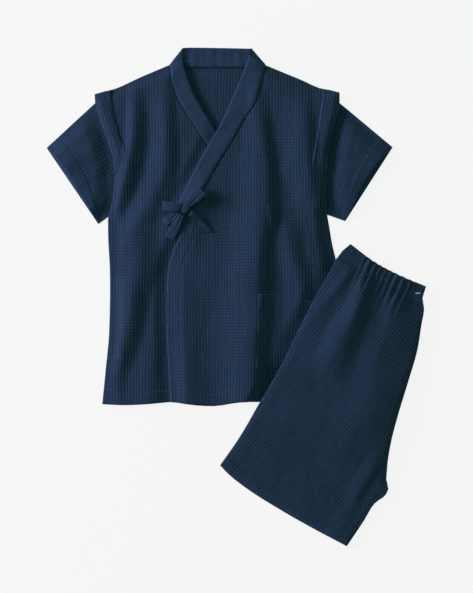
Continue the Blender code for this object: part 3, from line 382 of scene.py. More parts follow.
def over_surface(x, y):
    """The over front as it shows, which flattens out below the shorts."""
    lies_on_under = ramp(distance_to(x, y, side_right), SIDE_ROLL)
    on_collar = ramp(distance_to(x, y, np.concatenate([right_inner[-4:], free_edge[2:]])), 24)
    level = UNDER_LEVEL + (WALL + GAP) * lies_on_under + COLLAR_STEP * on_collar * lies_on_under
    below_shorts = depth_in(x, y, shorts_outline)
    pressed = 1 - ramp(below_shorts + PRESSED_EDGE, PRESSED_WIDTH)
    edge = 0.25 + 0.75 * on_collar
    rise = (PUFF + fold_rise(x, y, OVER_FOLDS)) * edge_roll(x, y) * pressed * edge
    return level + arm_lift(x, y) + bow_pull(x, y) + rise


def over_height(x, y):
    """The over front: flat below its shoulder tuck."""
    free = ramp(TUCK_COVER - depth_in(x, y, tuck_right), 0.6 * TUCK_COVER)
    return UNDER_LEVEL + (over_surface(x, y) - UNDER_LEVEL) * free


ridge_top = float(over_height(np.array([13.0]), np.array([-20.0]))[0])
print("over front is", round(ridge_top, 1), "mm up on its ridge")


# %% Heights of the collar, the tucks and the pocket
def collar_top_lift(x, y):
    """Lifts the ends of the front stretches over the back neck stretch."""
    fold_left = distance_to(x, y, [NECK_LEFT, COLLAR_TOP_LEFT])
    fold_right = distance_to(x, y, [NECK_RIGHT, COLLAR_TOP_RIGHT])
    over_neck = ramp(y - 296, 12)
    return (DOUBLE_WALL - WALL + 0.1) * over_neck * (1 - 0.5 * ramp(np.minimum(fold_left, fold_right), 14))


def left_collar_height(x, y):
    """The left stretch of the collar, flat where the over front covers it."""
    free = ramp(-depth_in(x, y, over_region) - 1.0, 18)
    low = UNDER_LEVEL + bow_pull(x, y)
    return low + (under_surface(x, y) - low) * free + collar_top_lift(x, y)


def right_collar_height(x, y):
    """The right stretch of the collar."""
    return over_surface(x, y) + collar_top_lift(x, y)


def left_tuck_height(x, y):
    """The left shoulder tuck, lying on its front."""
    return np.maximum(under_surface(x, y), TUCK_LEVEL)


def right_tuck_height(x, y):
    """The right shoulder tuck, lying on its front."""
    return np.maximum(over_surface(x, y), TUCK_LEVEL)


def pocket_height(x, y):
    """The pocket: the over front's points moved out."""
    return over_height(x, y) + WALL + PATCH_GAP


def flat_height(x, y):
    """The surface that the cloth lies on."""
    return np.zeros(np.shape(x))


print("the pocket lies", WALL + PATCH_GAP, "mm above the lower face of its front")

# %% Heights of the shorts
SHORTS_STACK = 4.2
SHORTS_PUFF = 1.2
SHORTS_EDGE = 9
DRAPE_WIDTH = 40
BRIDGE_WIDTH = 130
DRAPE_GAP = 0.55


def gather_wave(across):
    """The gathers, from 0 between them to their height, fading to the smooth ends of the band."""
    first = ramp(across - GATHER_START, 10)
    last = ramp(GATHER_START + GATHER_COUNT * GATHER_PITCH - across, 10)
    beat = 0.75 + 0.25 * np.cos(across / 7.0)
    uneven = across + 1.8 * np.sin(across / 9.0)
    wave = 0.5 - 0.5 * np.cos(2 * math.pi * (uneven - GATHER_START) / GATHER_PITCH)
    return GATHER_HEIGHT * first * last * beat * wave


def covered_part(x, y, width):
    """From 1 where the shorts lie on the top to 0 where they lie on the surface, over a width."""
    return 1 - ramp(-depth_in(x, y, body) - 5, width)


REST_HEIGHT = PRESSED_LEVEL + WALL + PATCH_GAP + WALL + LOOSE_GAP


def shorts_floor(x, y):
    """Lower face of the shorts: flat on the surface, and draped over the corner of the top."""
    return covered_part(x, y, DRAPE_WIDTH) * REST_HEIGHT


def shorts_bed(x, y):
    """Upper face of the hidden layers, which bridges the edge of the top more softly."""
    return covered_part(x, y, BRIDGE_WIDTH) * REST_HEIGHT + SHORTS_STACK


def shorts_rise(x, y):
    """Folds and gathers of the shorts above their hidden layers."""
    across, down = to_shorts(x, y)
    edge = ramp(depth_in(x, y, shorts_outline) + 0.5, SHORTS_EDGE)
    folds = (SHORTS_PUFF + fold_rise(across, down, SHORTS_FOLDS)) * ramp(down - 6, 40)
    leaning = across - 0.12 * (down - WAIST_DEPTH)
    gathers = gather_wave(leaning) * (1 - ramp(down - WAIST_DEPTH, GATHER_LENGTH))
    return folds * edge + gathers


def shorts_front_height(x, y):
    """Lower face of the leg and the waistband that show."""
    loose = DRAPE_GAP * ramp(covered_part(x, y, BRIDGE_WIDTH), 0.1)
    return shorts_bed(x, y) + GAP + loose + shorts_rise(x, y)


print("the shorts' hidden layers are", SHORTS_STACK, "mm thick where they lie flat")

# %% [markdown]
# ## The cloths and their threads
#
# Two cloths are used. The set is waffle cotton: the weave leaves small square pads with grooves between
# them, about four millimetres apart, and it scatters light from every side, so it looks matt and a
# little chalky. The collar and ties are plain weave of finer yarn, and smoother. The relief of
# the waffle is in the mesh; the material adds the yarn inside each pad, the unevenness of the dye,
# and painted shade that darkens the grooves.
#
# One small function adds a node with its settings and links, so a material reads from top to bottom.

# %% Helpers for materials
def linear(code):
    """A colour from its sRGB hex code, as linear values."""
    channels = [int(code[k:k + 2], 16) / 255 for k in (1, 3, 5)]
    return tuple(v / 12.92 if v <= 0.04045 else ((v + 0.055) / 1.055) ** 2.4 for v in channels) + (1.0,)


def add_node(tree, kind, settings=None, **links):
    """Adds a node; settings are its properties, links its sockets' values or the sockets they take."""
    node = tree.nodes.new(kind)
    for key, value in (settings or {}).items():
        setattr(node, key, value)
    for key, value in links.items():
        numbered = key[0] == "i" and key[1:].isdigit()
        socket = node.inputs[int(key[1:]) if numbered else key.replace("_", " ")]
        if isinstance(value, bpy.types.NodeSocket):
            tree.links.new(value, socket)
        else:
            socket.default_value = value
    return node


def new_material(name):
    """An empty material, its tree, shader and Object coordinates in metres."""
    material = bpy.data.materials.new(name)
    material.use_nodes = True
    tree = material.node_tree
    shader = tree.nodes["Principled BSDF"]
    where = add_node(tree, "ShaderNodeTexCoord").outputs["Object"]
    return material, tree, shader, where


print("navy in linear values:", [round(v, 4) for v in linear("#22324f")])

# %% Waffle cotton
WAFFLE_LIGHT = "#293f69"
WAFFLE_DARK = "#182742"
WAFFLE_DUST = "#394f77"
YARN_MM = 0.9
CLOUD_MM = 60
GROOVE_SHADE = 0.45


def waffle_cotton(name, turn):
    """Matt brushed cotton: yarn in the pads, worn tops, uneven dye, and painted shade in the grooves."""
    material, tree, shader, where = new_material(name)
    turned = add_node(tree, "ShaderNodeMapping", Vector=where, Rotation=(0, 0, turn)).outputs[0]
    yarn = add_node(tree, "ShaderNodeTexNoise", Vector=turned, Scale=1 / (YARN_MM * MM), Detail=2.0).outputs[0]
    fuzz = add_node(tree, "ShaderNodeTexNoise", Vector=turned, Scale=1 / (3.2 * MM), Detail=3.0).outputs[0]
    cloud = add_node(tree, "ShaderNodeTexNoise", Vector=where, Scale=1 / (CLOUD_MM * MM), Detail=2.0).outputs[0]
    dye = add_node(tree, "ShaderNodeMix", {"data_type": "RGBA"}, i6=linear(WAFFLE_DARK),
                   i7=linear(WAFFLE_LIGHT))
    spread = add_node(tree, "ShaderNodeMapRange", Value=cloud, From_Min=0.25, From_Max=0.75, To_Min=0.35,
                      To_Max=0.65)
    tree.links.new(spread.outputs[0], dye.inputs[0])
    worn = add_node(tree, "ShaderNodeMapRange", Value=fuzz, From_Min=0.45, From_Max=0.8, To_Min=0.0,
                    To_Max=0.35)
    colour = add_node(tree, "ShaderNodeMix", {"data_type": "RGBA"}, i0=worn.outputs[0], i6=dye.outputs[2],
                      i7=linear(WAFFLE_DUST))
    # Painted shade: the colour darkens towards GROOVE_SHADE where the groove attribute says a point lies deep in the
    # weave.
    groove = add_node(tree, "ShaderNodeAttribute", {"attribute_name": "groove"}).outputs["Fac"]
    depth = add_node(tree, "ShaderNodeMapRange", Value=groove, To_Min=1.0, To_Max=GROOVE_SHADE)
    shaded = add_node(tree, "ShaderNodeVectorMath", {"operation": "SCALE"}, i0=colour.outputs[2],
                      i3=depth.outputs[0])
    bump = add_node(tree, "ShaderNodeBump", Height=yarn, Strength=0.5, Distance=0.25 * MM)
    tree.links.new(shaded.outputs[0], shader.inputs["Base Color"])
    tree.links.new(bump.outputs[0], shader.inputs["Normal"])
    shader.inputs["Roughness"].default_value = 0.92
    shader.inputs["Specular IOR Level"].default_value = 0.25
    shader.inputs["Sheen Weight"].default_value = 0.08
    shader.inputs["Sheen Roughness"].default_value = 0.5
    return material


top_cloth = waffle_cotton("waffle_cotton_top", 0)
shorts_cloth = waffle_cotton("waffle_cotton_shorts", math.radians(8) - SHORTS_TURN)
print("waffle cotton ready for the top and the shorts")

# %% Plain cotton for the collar and ties
PLAIN_LIGHT = "#263a61"
PLAIN_DARK = "#182746"
PLAIN_YARN_MM = 0.7


def plain_cotton(name, turn):
    """Plain weave: fine yarns that cross at right angles, and soft creases from pressing."""
    material, tree, shader, where = new_material(name)
    turned = add_node(tree, "ShaderNodeMapping", Vector=where, Rotation=(0, 0, turn)).outputs[0]
    warp = add_node(tree, "ShaderNodeTexWave", {"bands_direction": "X"}, Vector=turned,
                    Scale=1 / (PLAIN_YARN_MM * MM * 2 * math.pi), Distortion=1.5).outputs[1]
    weft = add_node(tree, "ShaderNodeTexWave", {"bands_direction": "Y"}, Vector=turned,
                    Scale=1 / (PLAIN_YARN_MM * MM * 2 * math.pi), Distortion=1.5).outputs[1]
    weave = add_node(tree, "ShaderNodeMath", {"operation": "MULTIPLY"}, i0=warp, i1=weft).outputs[0]
    slub = add_node(tree, "ShaderNodeTexNoise", Vector=turned, Scale=1 / (7 * MM), Detail=4.0).outputs[0]
    share = add_node(tree, "ShaderNodeMapRange", Value=slub, From_Min=0.0, From_Max=1.0).outputs[0]
    colour = add_node(tree, "ShaderNodeMix", {"data_type": "RGBA"}, i0=share, i6=linear(PLAIN_DARK),
                      i7=linear(PLAIN_LIGHT))
    crumple = add_node(tree, "ShaderNodeBump", Height=slub, Strength=0.35, Distance=0.5 * MM)
    bump = add_node(tree, "ShaderNodeBump", Height=weave, Strength=0.4, Distance=0.12 * MM,
                    Normal=crumple.outputs[0])
    tree.links.new(colour.outputs[2], shader.inputs["Base Color"])
    tree.links.new(bump.outputs[0], shader.inputs["Normal"])
    shader.inputs["Roughness"].default_value = 0.85
    shader.inputs["Specular IOR Level"].default_value = 0.3
    return material


collar_cloth = plain_cotton("plain_cotton", math.radians(45))
print("plain cotton ready for the collar and ties")


# %% Sewing thread
def sewing_thread(name, code):
    """Spun polyester thread: smoother than the cloth, with a slight shine along its twist painted in as lighter
    specks.
    """
    material, tree, shader, where = new_material(name)
    twist = add_node(tree, "ShaderNodeTexNoise", Vector=where, Scale=1 / (0.5 * MM), Detail=2.0).outputs[0]
    # Painted shine: specks of a lighter copy of the thread's colour, spread by noise.
    painted_shine = tuple(min(1.0, 1.35 * v) for v in linear(code)[:3]) + (1.0,)
    colour = add_node(tree, "ShaderNodeMix", {"data_type": "RGBA"}, i0=twist, i6=linear(code), i7=painted_shine)
    tree.links.new(colour.outputs[2], shader.inputs["Base Color"])
    shader.inputs["Roughness"].default_value = 0.55
    return material


navy_thread = sewing_thread("thread_navy", "#1b2a46")
white_thread = sewing_thread("thread_white", "#d9dde2")
print("threads ready")

# %% [markdown]
# ## A panel of waffle cotton
#
# A flat pattern piece could be a grid cut by its outline, but a cut leaves slivers. Instead the whole
# squares of the weave's grid that fit inside the outline are laid first, and only the strip between them
# and the outline is filled with triangles. Three grid points make one pad of the waffle and its groove,
# so the relief needs no more points than this. The lower face is a coarse copy of the same outline.

# %% The waffle's relief
PAD_MM = 4.05
STEP_MM = PAD_MM / 3
GROOVE_MM = 0.5
COVERED_STEP = 5
LOWER_CELL = 5
RUMPLE_MM = 0.35


def waffle_relief(i, j):
    """Height of the weave at a grid point: grooves on every third line both ways, unevenly deep."""
    patch = np.sin(i / 17.0 + 2.0 * np.sin(j / 41.0)) * np.sin(j / 23.0 + 1.5 * np.sin(i / 37.0))
    each = np.sin(i * 2.7 + 0.6 * np.sin(j / 9.0)) * 0.15
    across = np.where(i % 3 == 0, 0.95 - 0.15 * patch + each, 0.0)
    along = np.where(j % 3 == 0, 0.6 + 0.3 * patch, 0.0)
    return -GROOVE_MM * np.maximum(across, along)


def rumple(x, y):
    """Slight unevenness of cotton that was worn and washed, some thirty to eighty millimetres long."""
    long_waves = np.sin(x / 9.0 + 1.7 * np.sin(y / 47.0)) * np.sin(y / 31.0 + 1.3 * np.sin(x / 29.0))
    short_waves = np.sin(x / 4.6 + y / 33.0 + 1.1 * np.sin(y / 21.0)) * np.sin(y / 13.0 - x / 17.0)
    return RUMPLE_MM * (0.65 * long_waves + 0.35 * short_waves)


def wander(x, y):
    """Small shifts that keep the rows of the weave from being ruled lines."""
    shift_x = 0.45 * np.sin(y / 23.0 + x / 61.0) + 0.25 * np.sin(y / 9.1 - x / 37.0)
    shift_y = 0.40 * np.sin(x / 19.0 + y / 53.0) + 0.25 * np.sin(x / 8.3 - y / 41.0)
    return shift_x, shift_y


print("one pad of the waffle is", PAD_MM, "mm wide")


# %% Meshing a panel
def turned_plane(points, turn):
    """Points read along and across a direction that is turned from the axes."""
    cos, sin = math.cos(turn), math.sin(turn)
    x, y = np.asarray(points, float).T
    return np.stack([x * cos + y * sin, -x * sin + y * cos], axis=1)


def fill_strip(outline, rim_edges, places, kept, loose):
    """Triangles between the outline and the laid squares."""
    rim = sorted({k for edge in rim_edges for k in edge})
    local = {k: n + len(outline) for n, k in enumerate(rim)}
    points = [tuple(p) for p in outline] + [tuple(places[k]) for k in rim] + [tuple(p) for p in loose]
    edges = [(local[a], local[b]) for a, b in rim_edges]
    result = delaunay_2d_cdt(points, edges, [list(range(len(outline)))], 1, 1e-7)
    flat = np.array([tuple(p) for p in result[0]])
    strip = []
    for triangle in result[2]:
        corners = flat[list(triangle)]
        cell = tuple(np.floor(corners.mean(axis=0) / STEP_MM).astype(int))
        if cell not in kept:
            (x0, y0), (x1, y1), (x2, y2) = corners
            turned = (x1 - x0) * (y2 - y0) - (x2 - x0) * (y1 - y0)
            strip.append(tuple(triangle) if turned > 0 else tuple(triangle)[::-1])
    return flat, strip, rim


def laid_squares(outline, shown):
    """The whole squares of the weave's grid inside an outline: grid points, faces and rim edges."""
    low = np.floor(outline.min(axis=0) / STEP_MM).astype(int)
    high = np.ceil(outline.max(axis=0) / STEP_MM).astype(int)
    i, j = np.meshgrid(np.arange(low[0], high[0] + 1), np.arange(low[1], high[1] + 1), indexing="ij")
    inside = depth_in(i * STEP_MM, j * STEP_MM, outline) > 0.6 * STEP_MM
    if shown is not None:
        inside &= shown(i * STEP_MM, j * STEP_MM)
    square = inside[:-1, :-1] & inside[1:, :-1] & inside[1:, 1:] & inside[:-1, 1:]
    number = np.arange(i.size).reshape(i.shape)
    a, b = number[:-1, :-1][square], number[1:, :-1][square]
    c, d = number[1:, 1:][square], number[:-1, 1:][square]
    faces = np.stack([a, b, c, d], axis=1)
    kept = set(zip(i[:-1, :-1][square].tolist(), j[:-1, :-1][square].tolist()))
    edges = set()
    for start, end in ((a, b), (b, c), (c, d), (d, a)):
        edges.update(zip(start.tolist(), end.tolist()))
    rim_edges = [edge for edge in edges if (edge[1], edge[0]) not in edges]
    return i.ravel(), j.ravel(), faces, rim_edges, kept


def loose_points(outline, shown):
    """Widely spaced points for the part of a panel that other pieces cover."""
    if shown is None:
        return []
    low, high = outline.min(axis=0), outline.max(axis=0)
    x, y = np.meshgrid(np.arange(low[0], high[0], COVERED_STEP), np.arange(low[1], high[1], COVERED_STEP))
    x, y = x.ravel(), y.ravel()
    keep = (depth_in(x, y, outline) > 4) & ~shown(x, y)
    return np.stack([x[keep], y[keep]], axis=1)


def woven_net(outline, turn=0.0, shown=None):
    """Points, faces and grid numbers of a panel's upper face."""
    outline = turned_plane(outline, turn)
    i, j, squares, rim_edges, kept = laid_squares(outline, shown)
    places = np.stack([i, j], axis=1) * STEP_MM
    loose = loose_points(outline, shown)
    flat, strip, rim = fill_strip(outline, rim_edges, places, kept, loose)
    used = np.unique(squares)
    renumber = {int(k): n for n, k in enumerate(used)}
    lookup = np.zeros(len(i), int)
    lookup[used] = np.arange(len(used))
    faces = [tuple(face) for face in lookup[squares].tolist()]
    extra, where = [], {}
    for n, point in enumerate(flat):
        k = n - len(outline)
        if 0 <= k < len(rim) and np.hypot(*(places[rim[k]] - point)) < 1e-3:
            where[n] = renumber[rim[k]]
        else:
            where[n] = len(used) + len(extra)
            extra.append(point)
    faces += [tuple(where[k] for k in triangle) for triangle in strip]
    plan = np.concatenate([places[used], np.array(extra).reshape(-1, 2)])
    grid = np.stack([np.concatenate([i[used], np.full(len(extra), 1)]),
                     np.concatenate([j[used], np.full(len(extra), 1)])], axis=1)
    return turned_plane(plan, -turn), faces, grid


print("grid of the weave:", STEP_MM, "mm")


# %% Making a mesh object
def rim_loop(faces):
    """The edges on the rim of a net, each from its start to its end."""
    edges = set()
    for face in faces:
        edges.update(zip(face, face[1:] + face[:1]))
    return [(a, b) for a, b in edges if (b, a) not in edges]


def add_mesh(name, points, faces, material):
    """Makes one smooth mesh object from points in millimetres."""
    mesh = bpy.data.meshes.new(name)
    mesh.from_pydata((np.asarray(points, float) * MM).tolist(), [], faces)
    mesh.validate()
    mesh.materials.append(material)
    mesh.shade_smooth()
    thing = bpy.data.objects.new(name, mesh)
    bpy.context.scene.collection.objects.link(thing)
    return thing


def mark_groove_shade(thing, weave):
    """Writes how deep each point lies in the weave, for the material's painted shade in the grooves."""
    values = np.zeros(len(thing.data.vertices))
    values[:len(weave)] = -weave / GROOVE_MM
    thing.data.attributes.new("groove", "FLOAT", "POINT").data.foreach_set("value", values)


def panel(name, outline, height, wall, material, turn=0.0, relief=1.0, rises=(), shown=None, roll=0.45):
    """One wall of cloth with its woven upper face, rounded edge and plain lower face."""
    outline = refine(inset(join(outline), GAP / 2), 3.0)
    plan, faces, grid = woven_net(outline, turn, shown)
    x, y = plan.T
    weave = waffle_relief(grid[:, 0], grid[:, 1]) * relief
    depth = np.clip(depth_in(x, y, outline), 0, None)
    roundness = roll * wall * (1 - ramp(depth + 0.2, 2.2))
    top = height(x, y) + wall + (weave + sum(rise(x, y) for rise in rises)) * ramp(depth, 1.5) - roundness
    shift_x, shift_y = wander(x, y)
    inner = ramp(depth - 1.0, 4.0) * relief
    upper = np.stack([x + shift_x * inner, y + shift_y * inner, top], axis=1)
    rim = rim_loop(faces)
    chain = dict(rim)
    order = [rim[0][0]]
    while chain[order[-1]] != order[0]:
        order.append(chain[order[-1]])
    low_plan, low_faces = coarse_net(plan[order], LOWER_CELL)
    low = np.column_stack([low_plan, height(*low_plan.T)])
    points = np.concatenate([upper, low])
    shift = len(upper)
    faces = list(faces) + [tuple(shift + k for k in face[::-1]) for face in low_faces]
    for k in range(len(order)):
        n = (k + 1) % len(order)
        faces.append((order[n], order[k], shift + k, shift + n))
    thing = add_mesh(name, points, faces, material)
    # Depth in the weave, read by the material as painted shade in the grooves.
    mark_groove_shade(thing, weave)
    return thing


def refine(outline, step):
    """The outline with more points along its longer edges."""
    points = []
    for start, end in zip(outline, np.roll(outline, -1, axis=0)):
        count = max(1, round(math.dist(start, end) / step))
        points += [start + (end - start) * k / count for k in range(count)]
    return np.array(points)


def coarse_net(ring, cell):
    """A loose net over a ring of points, for a face that nobody sees close up."""
    low, high = ring.min(axis=0), ring.max(axis=0)
    x, y = np.meshgrid(np.arange(low[0], high[0], cell), np.arange(low[1], high[1], cell))
    x, y = x.ravel(), y.ravel()
    keep = depth_in(x, y, ring) > 0.35 * cell
    points = np.concatenate([ring, np.stack([x[keep], y[keep]], axis=1)])
    result = delaunay_2d_cdt([tuple(p) for p in points], [], [list(range(len(ring)))], 1, 1e-7)
    flat = np.array([tuple(p) for p in result[0]])
    faces = []
    for triangle in result[2]:
        (x0, y0), (x1, y1), (x2, y2) = flat[list(triangle)]
        turned = (x1 - x0) * (y2 - y0) - (x2 - x0) * (y1 - y0)
        faces.append(tuple(triangle) if turned > 0 else tuple(triangle)[::-1])
    return flat, faces


print("panel maker ready")

# %% [markdown]
# ## The back and the two fronts
#
# The top is cut flat: one back, and two fronts that overlap. The wearer's left front is the one that
# shows whole. Its free edge and its hem are turned over twice and sewn down, which makes a slightly
# raised band that ends in a fine groove where the thread pulls the cloth in.

# %% Hem and fold details
HEM_MM = 16
HEM_RISE = 0.7
SEAM_PULL = 0.5


def turned_edge(line, width=HEM_MM):
    """The raised band of a turned edge along a line, with the pull of its stitches."""
    def rise(x, y):
        away = distance_to(x, y, line)
        band = HEM_RISE * (1 - ramp(away - width - 0.4, 1.4))
        pull = SEAM_PULL * np.exp(-((away - width) / 1.1) ** 2)
        return band - pull
    return rise


def seam_pull(line, away_mm=0.0):
    """The shallow furrow that a row of stitches presses into the cloth."""
    def rise(x, y):
        return -SEAM_PULL * np.exp(-((distance_to(x, y, line) - away_mm) / 1.1) ** 2)
    return rise


def above(line, level):
    """The points of a line above a level of y."""
    return line[line[:, 1] > level]


def below(line, level):
    """The points of a line below a level of y."""
    return line[line[:, 1] < level]


print("hems are", HEM_MM, "mm deep")

# %% Back
back_outline = inset(join(curve(BACK_NECK), shoulder_right[:-2], curve(ARMHOLE_RIGHT), side_right[1:],
                          hem_over[::-1], hem_shown[::-1], side_left[::-1][:-1], curve(ARMHOLE_LEFT)[::-1],
                          shoulder_left[::-1][2:]), 0.5)


def at_the_neck(x, y):
    """The part of the back that shows between the two fronts."""
    return (y > 120) & (np.abs(x + 25) < 75)


back = panel("back_cloth", back_outline, flat_height, WALL, top_cloth, shown=at_the_neck)
print("back:", len(back.data.polygons), "faces")

# %% Under front
UNDER_TUCK_LEFT = [(-163.2, 164.5), (-158.5, 172)]
body_edge_low = below(curve(BODY_EDGE_LEFT), UNDER_TUCK_LEFT[0][1] - 3)
arm_high = above(curve(ARMHOLE_LEFT), UNDER_TUCK_LEFT[1][1] + 3)
under_outline = join(curve(LEFT_SEAM), curve(HIDDEN_EDGE, 30), [HEM_UNDER[-1]], curve(HEM_UNDER[:4], 12)[::-1],
                     side_left[::-1], body_edge_low[::-1], UNDER_TUCK_LEFT, arm_high[::-1],
                     shoulder_left[::-1][2:])


def beside_over_front(x, y):
    """The part of the under front that the over front leaves bare."""
    return depth_in(x, y, over_region) < 6


under = panel("under_front_cloth", under_outline, under_height, WALL, top_cloth, shown=beside_over_front,
              rises=[turned_edge(hem_under), rumple])
print("under front:", len(under.data.polygons), "faces")

# %% Over front
UNDER_TUCK_RIGHT = [(121.2, 166.4), (113, 173)]
body_edge_low = below(curve(BODY_EDGE_RIGHT), UNDER_TUCK_RIGHT[0][1] - 3)
arm_high = above(curve(ARMHOLE_RIGHT), UNDER_TUCK_RIGHT[1][1] + 3)
over_outline = join(right_seam, free_edge, hem_over, side_right[::-1], body_edge_low[::-1], UNDER_TUCK_RIGHT,
                    arm_high[::-1], shoulder_right[::-1][2:])
free_hem = free_edge[2:]
over = panel("over_front_cloth", over_outline, over_height, WALL, top_cloth,
             rises=[turned_edge(hem_over), turned_edge(free_hem), rumple])
print("over front:", len(over.data.polygons), "faces")

# %% [markdown]
# ## Collar, shoulder tucks and pocket
#
# The collar is one long strip folded over the raw edge of the neck, so it is two cloths thick and stands
# a little above the fronts. The shoulder tucks are folds stitched down over the shoulders, to be let out
# as the child grows. The pocket is a patch whose top edge is turned twice.

# %% Collar
top_edge = curve([COLLAR_TOP_RIGHT, (-25, 335), (-62, 335.5)], 20)
neck_outline = join(curve(BACK_NECK), top_edge, [COLLAR_TOP_LEFT])
left_outline = join([COLLAR_TOP_LEFT], curve(LEFT_INNER), curve(LEFT_SEAM)[::-1], [NECK_LEFT])
right_outline = join([COLLAR_TOP_RIGHT], right_inner, right_seam[::-1])


def pressed_folds(x, y):
    """Slight ripples across the collar, from turning a straight strip along a curved edge."""
    along = 0.76 * y - 0.65 * x
    return 0.2 * np.sin(along / 3.1) * np.sin(along / 17.0) + 0.22 * np.sin(along / 7.3 + 0.8 * np.sin(x / 9.0))


def neck_creases(x, y):
    """Small upright creases in the back neck stretch."""
    return 0.3 * np.sin(x / 2.4 + 0.3 * np.sin(y / 5.0)) * np.sin(x / 11.0 + 1.0)


NECK_LIP = 3.5
neck_lip = curve(BACK_NECK) - (0, NECK_LIP)


def neck_height(x, y):
    """The lower edge of the back neck stretch lies on the back, over the seam."""
    return (WALL + GAP) * (1 - ramp(distance_to(x, y, neck_lip) - 2 * NECK_LIP, NECK_LIP))


neck = panel("collar_back_neck_cloth", join(neck_lip, top_edge, [COLLAR_TOP_LEFT]), neck_height, DOUBLE_WALL,
             collar_cloth, relief=0.0, rises=[neck_creases])
collar_left = panel("collar_left_cloth", left_outline, left_collar_height, DOUBLE_WALL, collar_cloth,
                    relief=0.0,
                    rises=[pressed_folds, seam_pull(curve(LEFT_SEAM), 2.2)])
collar_right = panel("collar_right_cloth", right_outline, right_collar_height, DOUBLE_WALL, collar_cloth,
                     relief=0.0, rises=[pressed_folds, seam_pull(right_seam, 2.2)])
print("collar:", sum(len(piece.data.polygons) for piece in (neck, collar_left, collar_right)), "faces")

# %% Shoulder tucks
TUCK_FOOT_MM = 16


def opened_foot(foot):
    """The foot of a tuck, where the stitching ends and its fold opens into the cloth."""
    def rise(x, y):
        return (WALL - DOUBLE_WALL) * (1 - ramp(distance_to(x, y, np.array(foot, float)), TUCK_FOOT_MM))
    return rise


tuck_cloth_left = panel("shoulder_tuck_left_cloth", tuck_left, left_tuck_height, DOUBLE_WALL, top_cloth,
                        turn=math.radians(12), rises=[opened_foot([TUCK_FOLD_LEFT[-1], TUCK_STITCH_LEFT[-1]])])
tuck_cloth_right = panel("shoulder_tuck_right_cloth", tuck_right, right_tuck_height, DOUBLE_WALL, top_cloth,
                         turn=math.radians(-9),
                         rises=[opened_foot([TUCK_FOLD_RIGHT[-1], TUCK_STITCH_RIGHT[-1]])])
print("tucks:", len(tuck_cloth_left.data.polygons) + len(tuck_cloth_right.data.polygons), "faces")

# %% Pocket
POCKET_BAND = 20
POCKET_STITCH = 2.5
pocket_outline = join(curve(POCKET[:4]), curve(POCKET[4:], 30))
pocket_top = curve(POCKET[:4])
pocket_sides = np.array([POCKET[0], POCKET[5], POCKET[4], POCKET[3]], float)
POCKET_SEWN = 0.25


def sewn_height(x, y):
    """The pocket is sewn close to the front, closer than its solid can lie."""
    return pocket_height(x, y) + POCKET_SEWN - PATCH_GAP


def sewn_edge(x, y):
    """Its edge is drawn down by the stitches beside it."""
    return -0.5 * WALL * (1 - ramp(distance_to(x, y, pocket_sides), 2.0 * POCKET_STITCH))


pocket = panel("pocket_cloth", pocket_outline, sewn_height, WALL, top_cloth,
               rises=[turned_edge(pocket_top, POCKET_BAND), seam_pull(pocket_sides, POCKET_STITCH), sewn_edge, rumple])
print("pocket:", len(pocket.data.polygons), "faces")

# %% [markdown]
# ## Sleeves
#
# A sleeve is a short tube that lies flat, its upper layer puffed a little and drawn back from the cuff,
# so that the edge of the lower layer peeps out. It is built as rings that run round the tube, from the
# armhole to the cuff, with the weave's relief on its upper layer, and a plain inner wall.

# %% Sleeve maker
CUFF_STEP = 0.095
SLEEVE_GAP = 1.0
SLEEVE_PUFF = 5.0
SLEEVE_ROWS = 66
SLEEVE_ACROSS = 100


def sleeve_layers(armhole, cuff):
    """Grids of points for the lower and upper layers, and the height of the upper one."""
    t = 0.5 - 0.5 * np.cos(np.linspace(0, math.pi, SLEEVE_ACROSS)) * 0.35 \
        + (np.linspace(0, 1, SLEEVE_ACROSS) - 0.5) * 0.65
    t = (t - t[0]) / (t[-1] - t[0])
    middle = np.mean(cuff, axis=0)
    line = curve(armhole, 6)
    line = line + SLEEVE_GAP * (middle - line) / np.hypot(*(middle - line).T)[:, None]
    along = np.linspace(0, 1, len(line))
    start = np.stack([np.interp(t, along, line[:, k]) for k in (0, 1)], axis=1)
    end = np.asarray(cuff[0]) + t[:, None] * (np.asarray(cuff[1], float) - cuff[0])
    s = np.linspace(0, 1, SLEEVE_ROWS)[:, None, None]
    lower = start + s * (end - start)
    short = s * (1 - CUFF_STEP * np.sin(math.pi * t))[None, :, None]
    upper = start + short * (end - start)
    width = np.hypot(*(end[-1] - end[0]))
    from_body = -depth_in(upper[..., 0], upper[..., 1], body)
    rise = SLEEVE_PUFF * ramp(np.minimum(t, 1 - t) * width, 22) * ramp(from_body - 2, 26)
    return lower, upper, rise, t, width


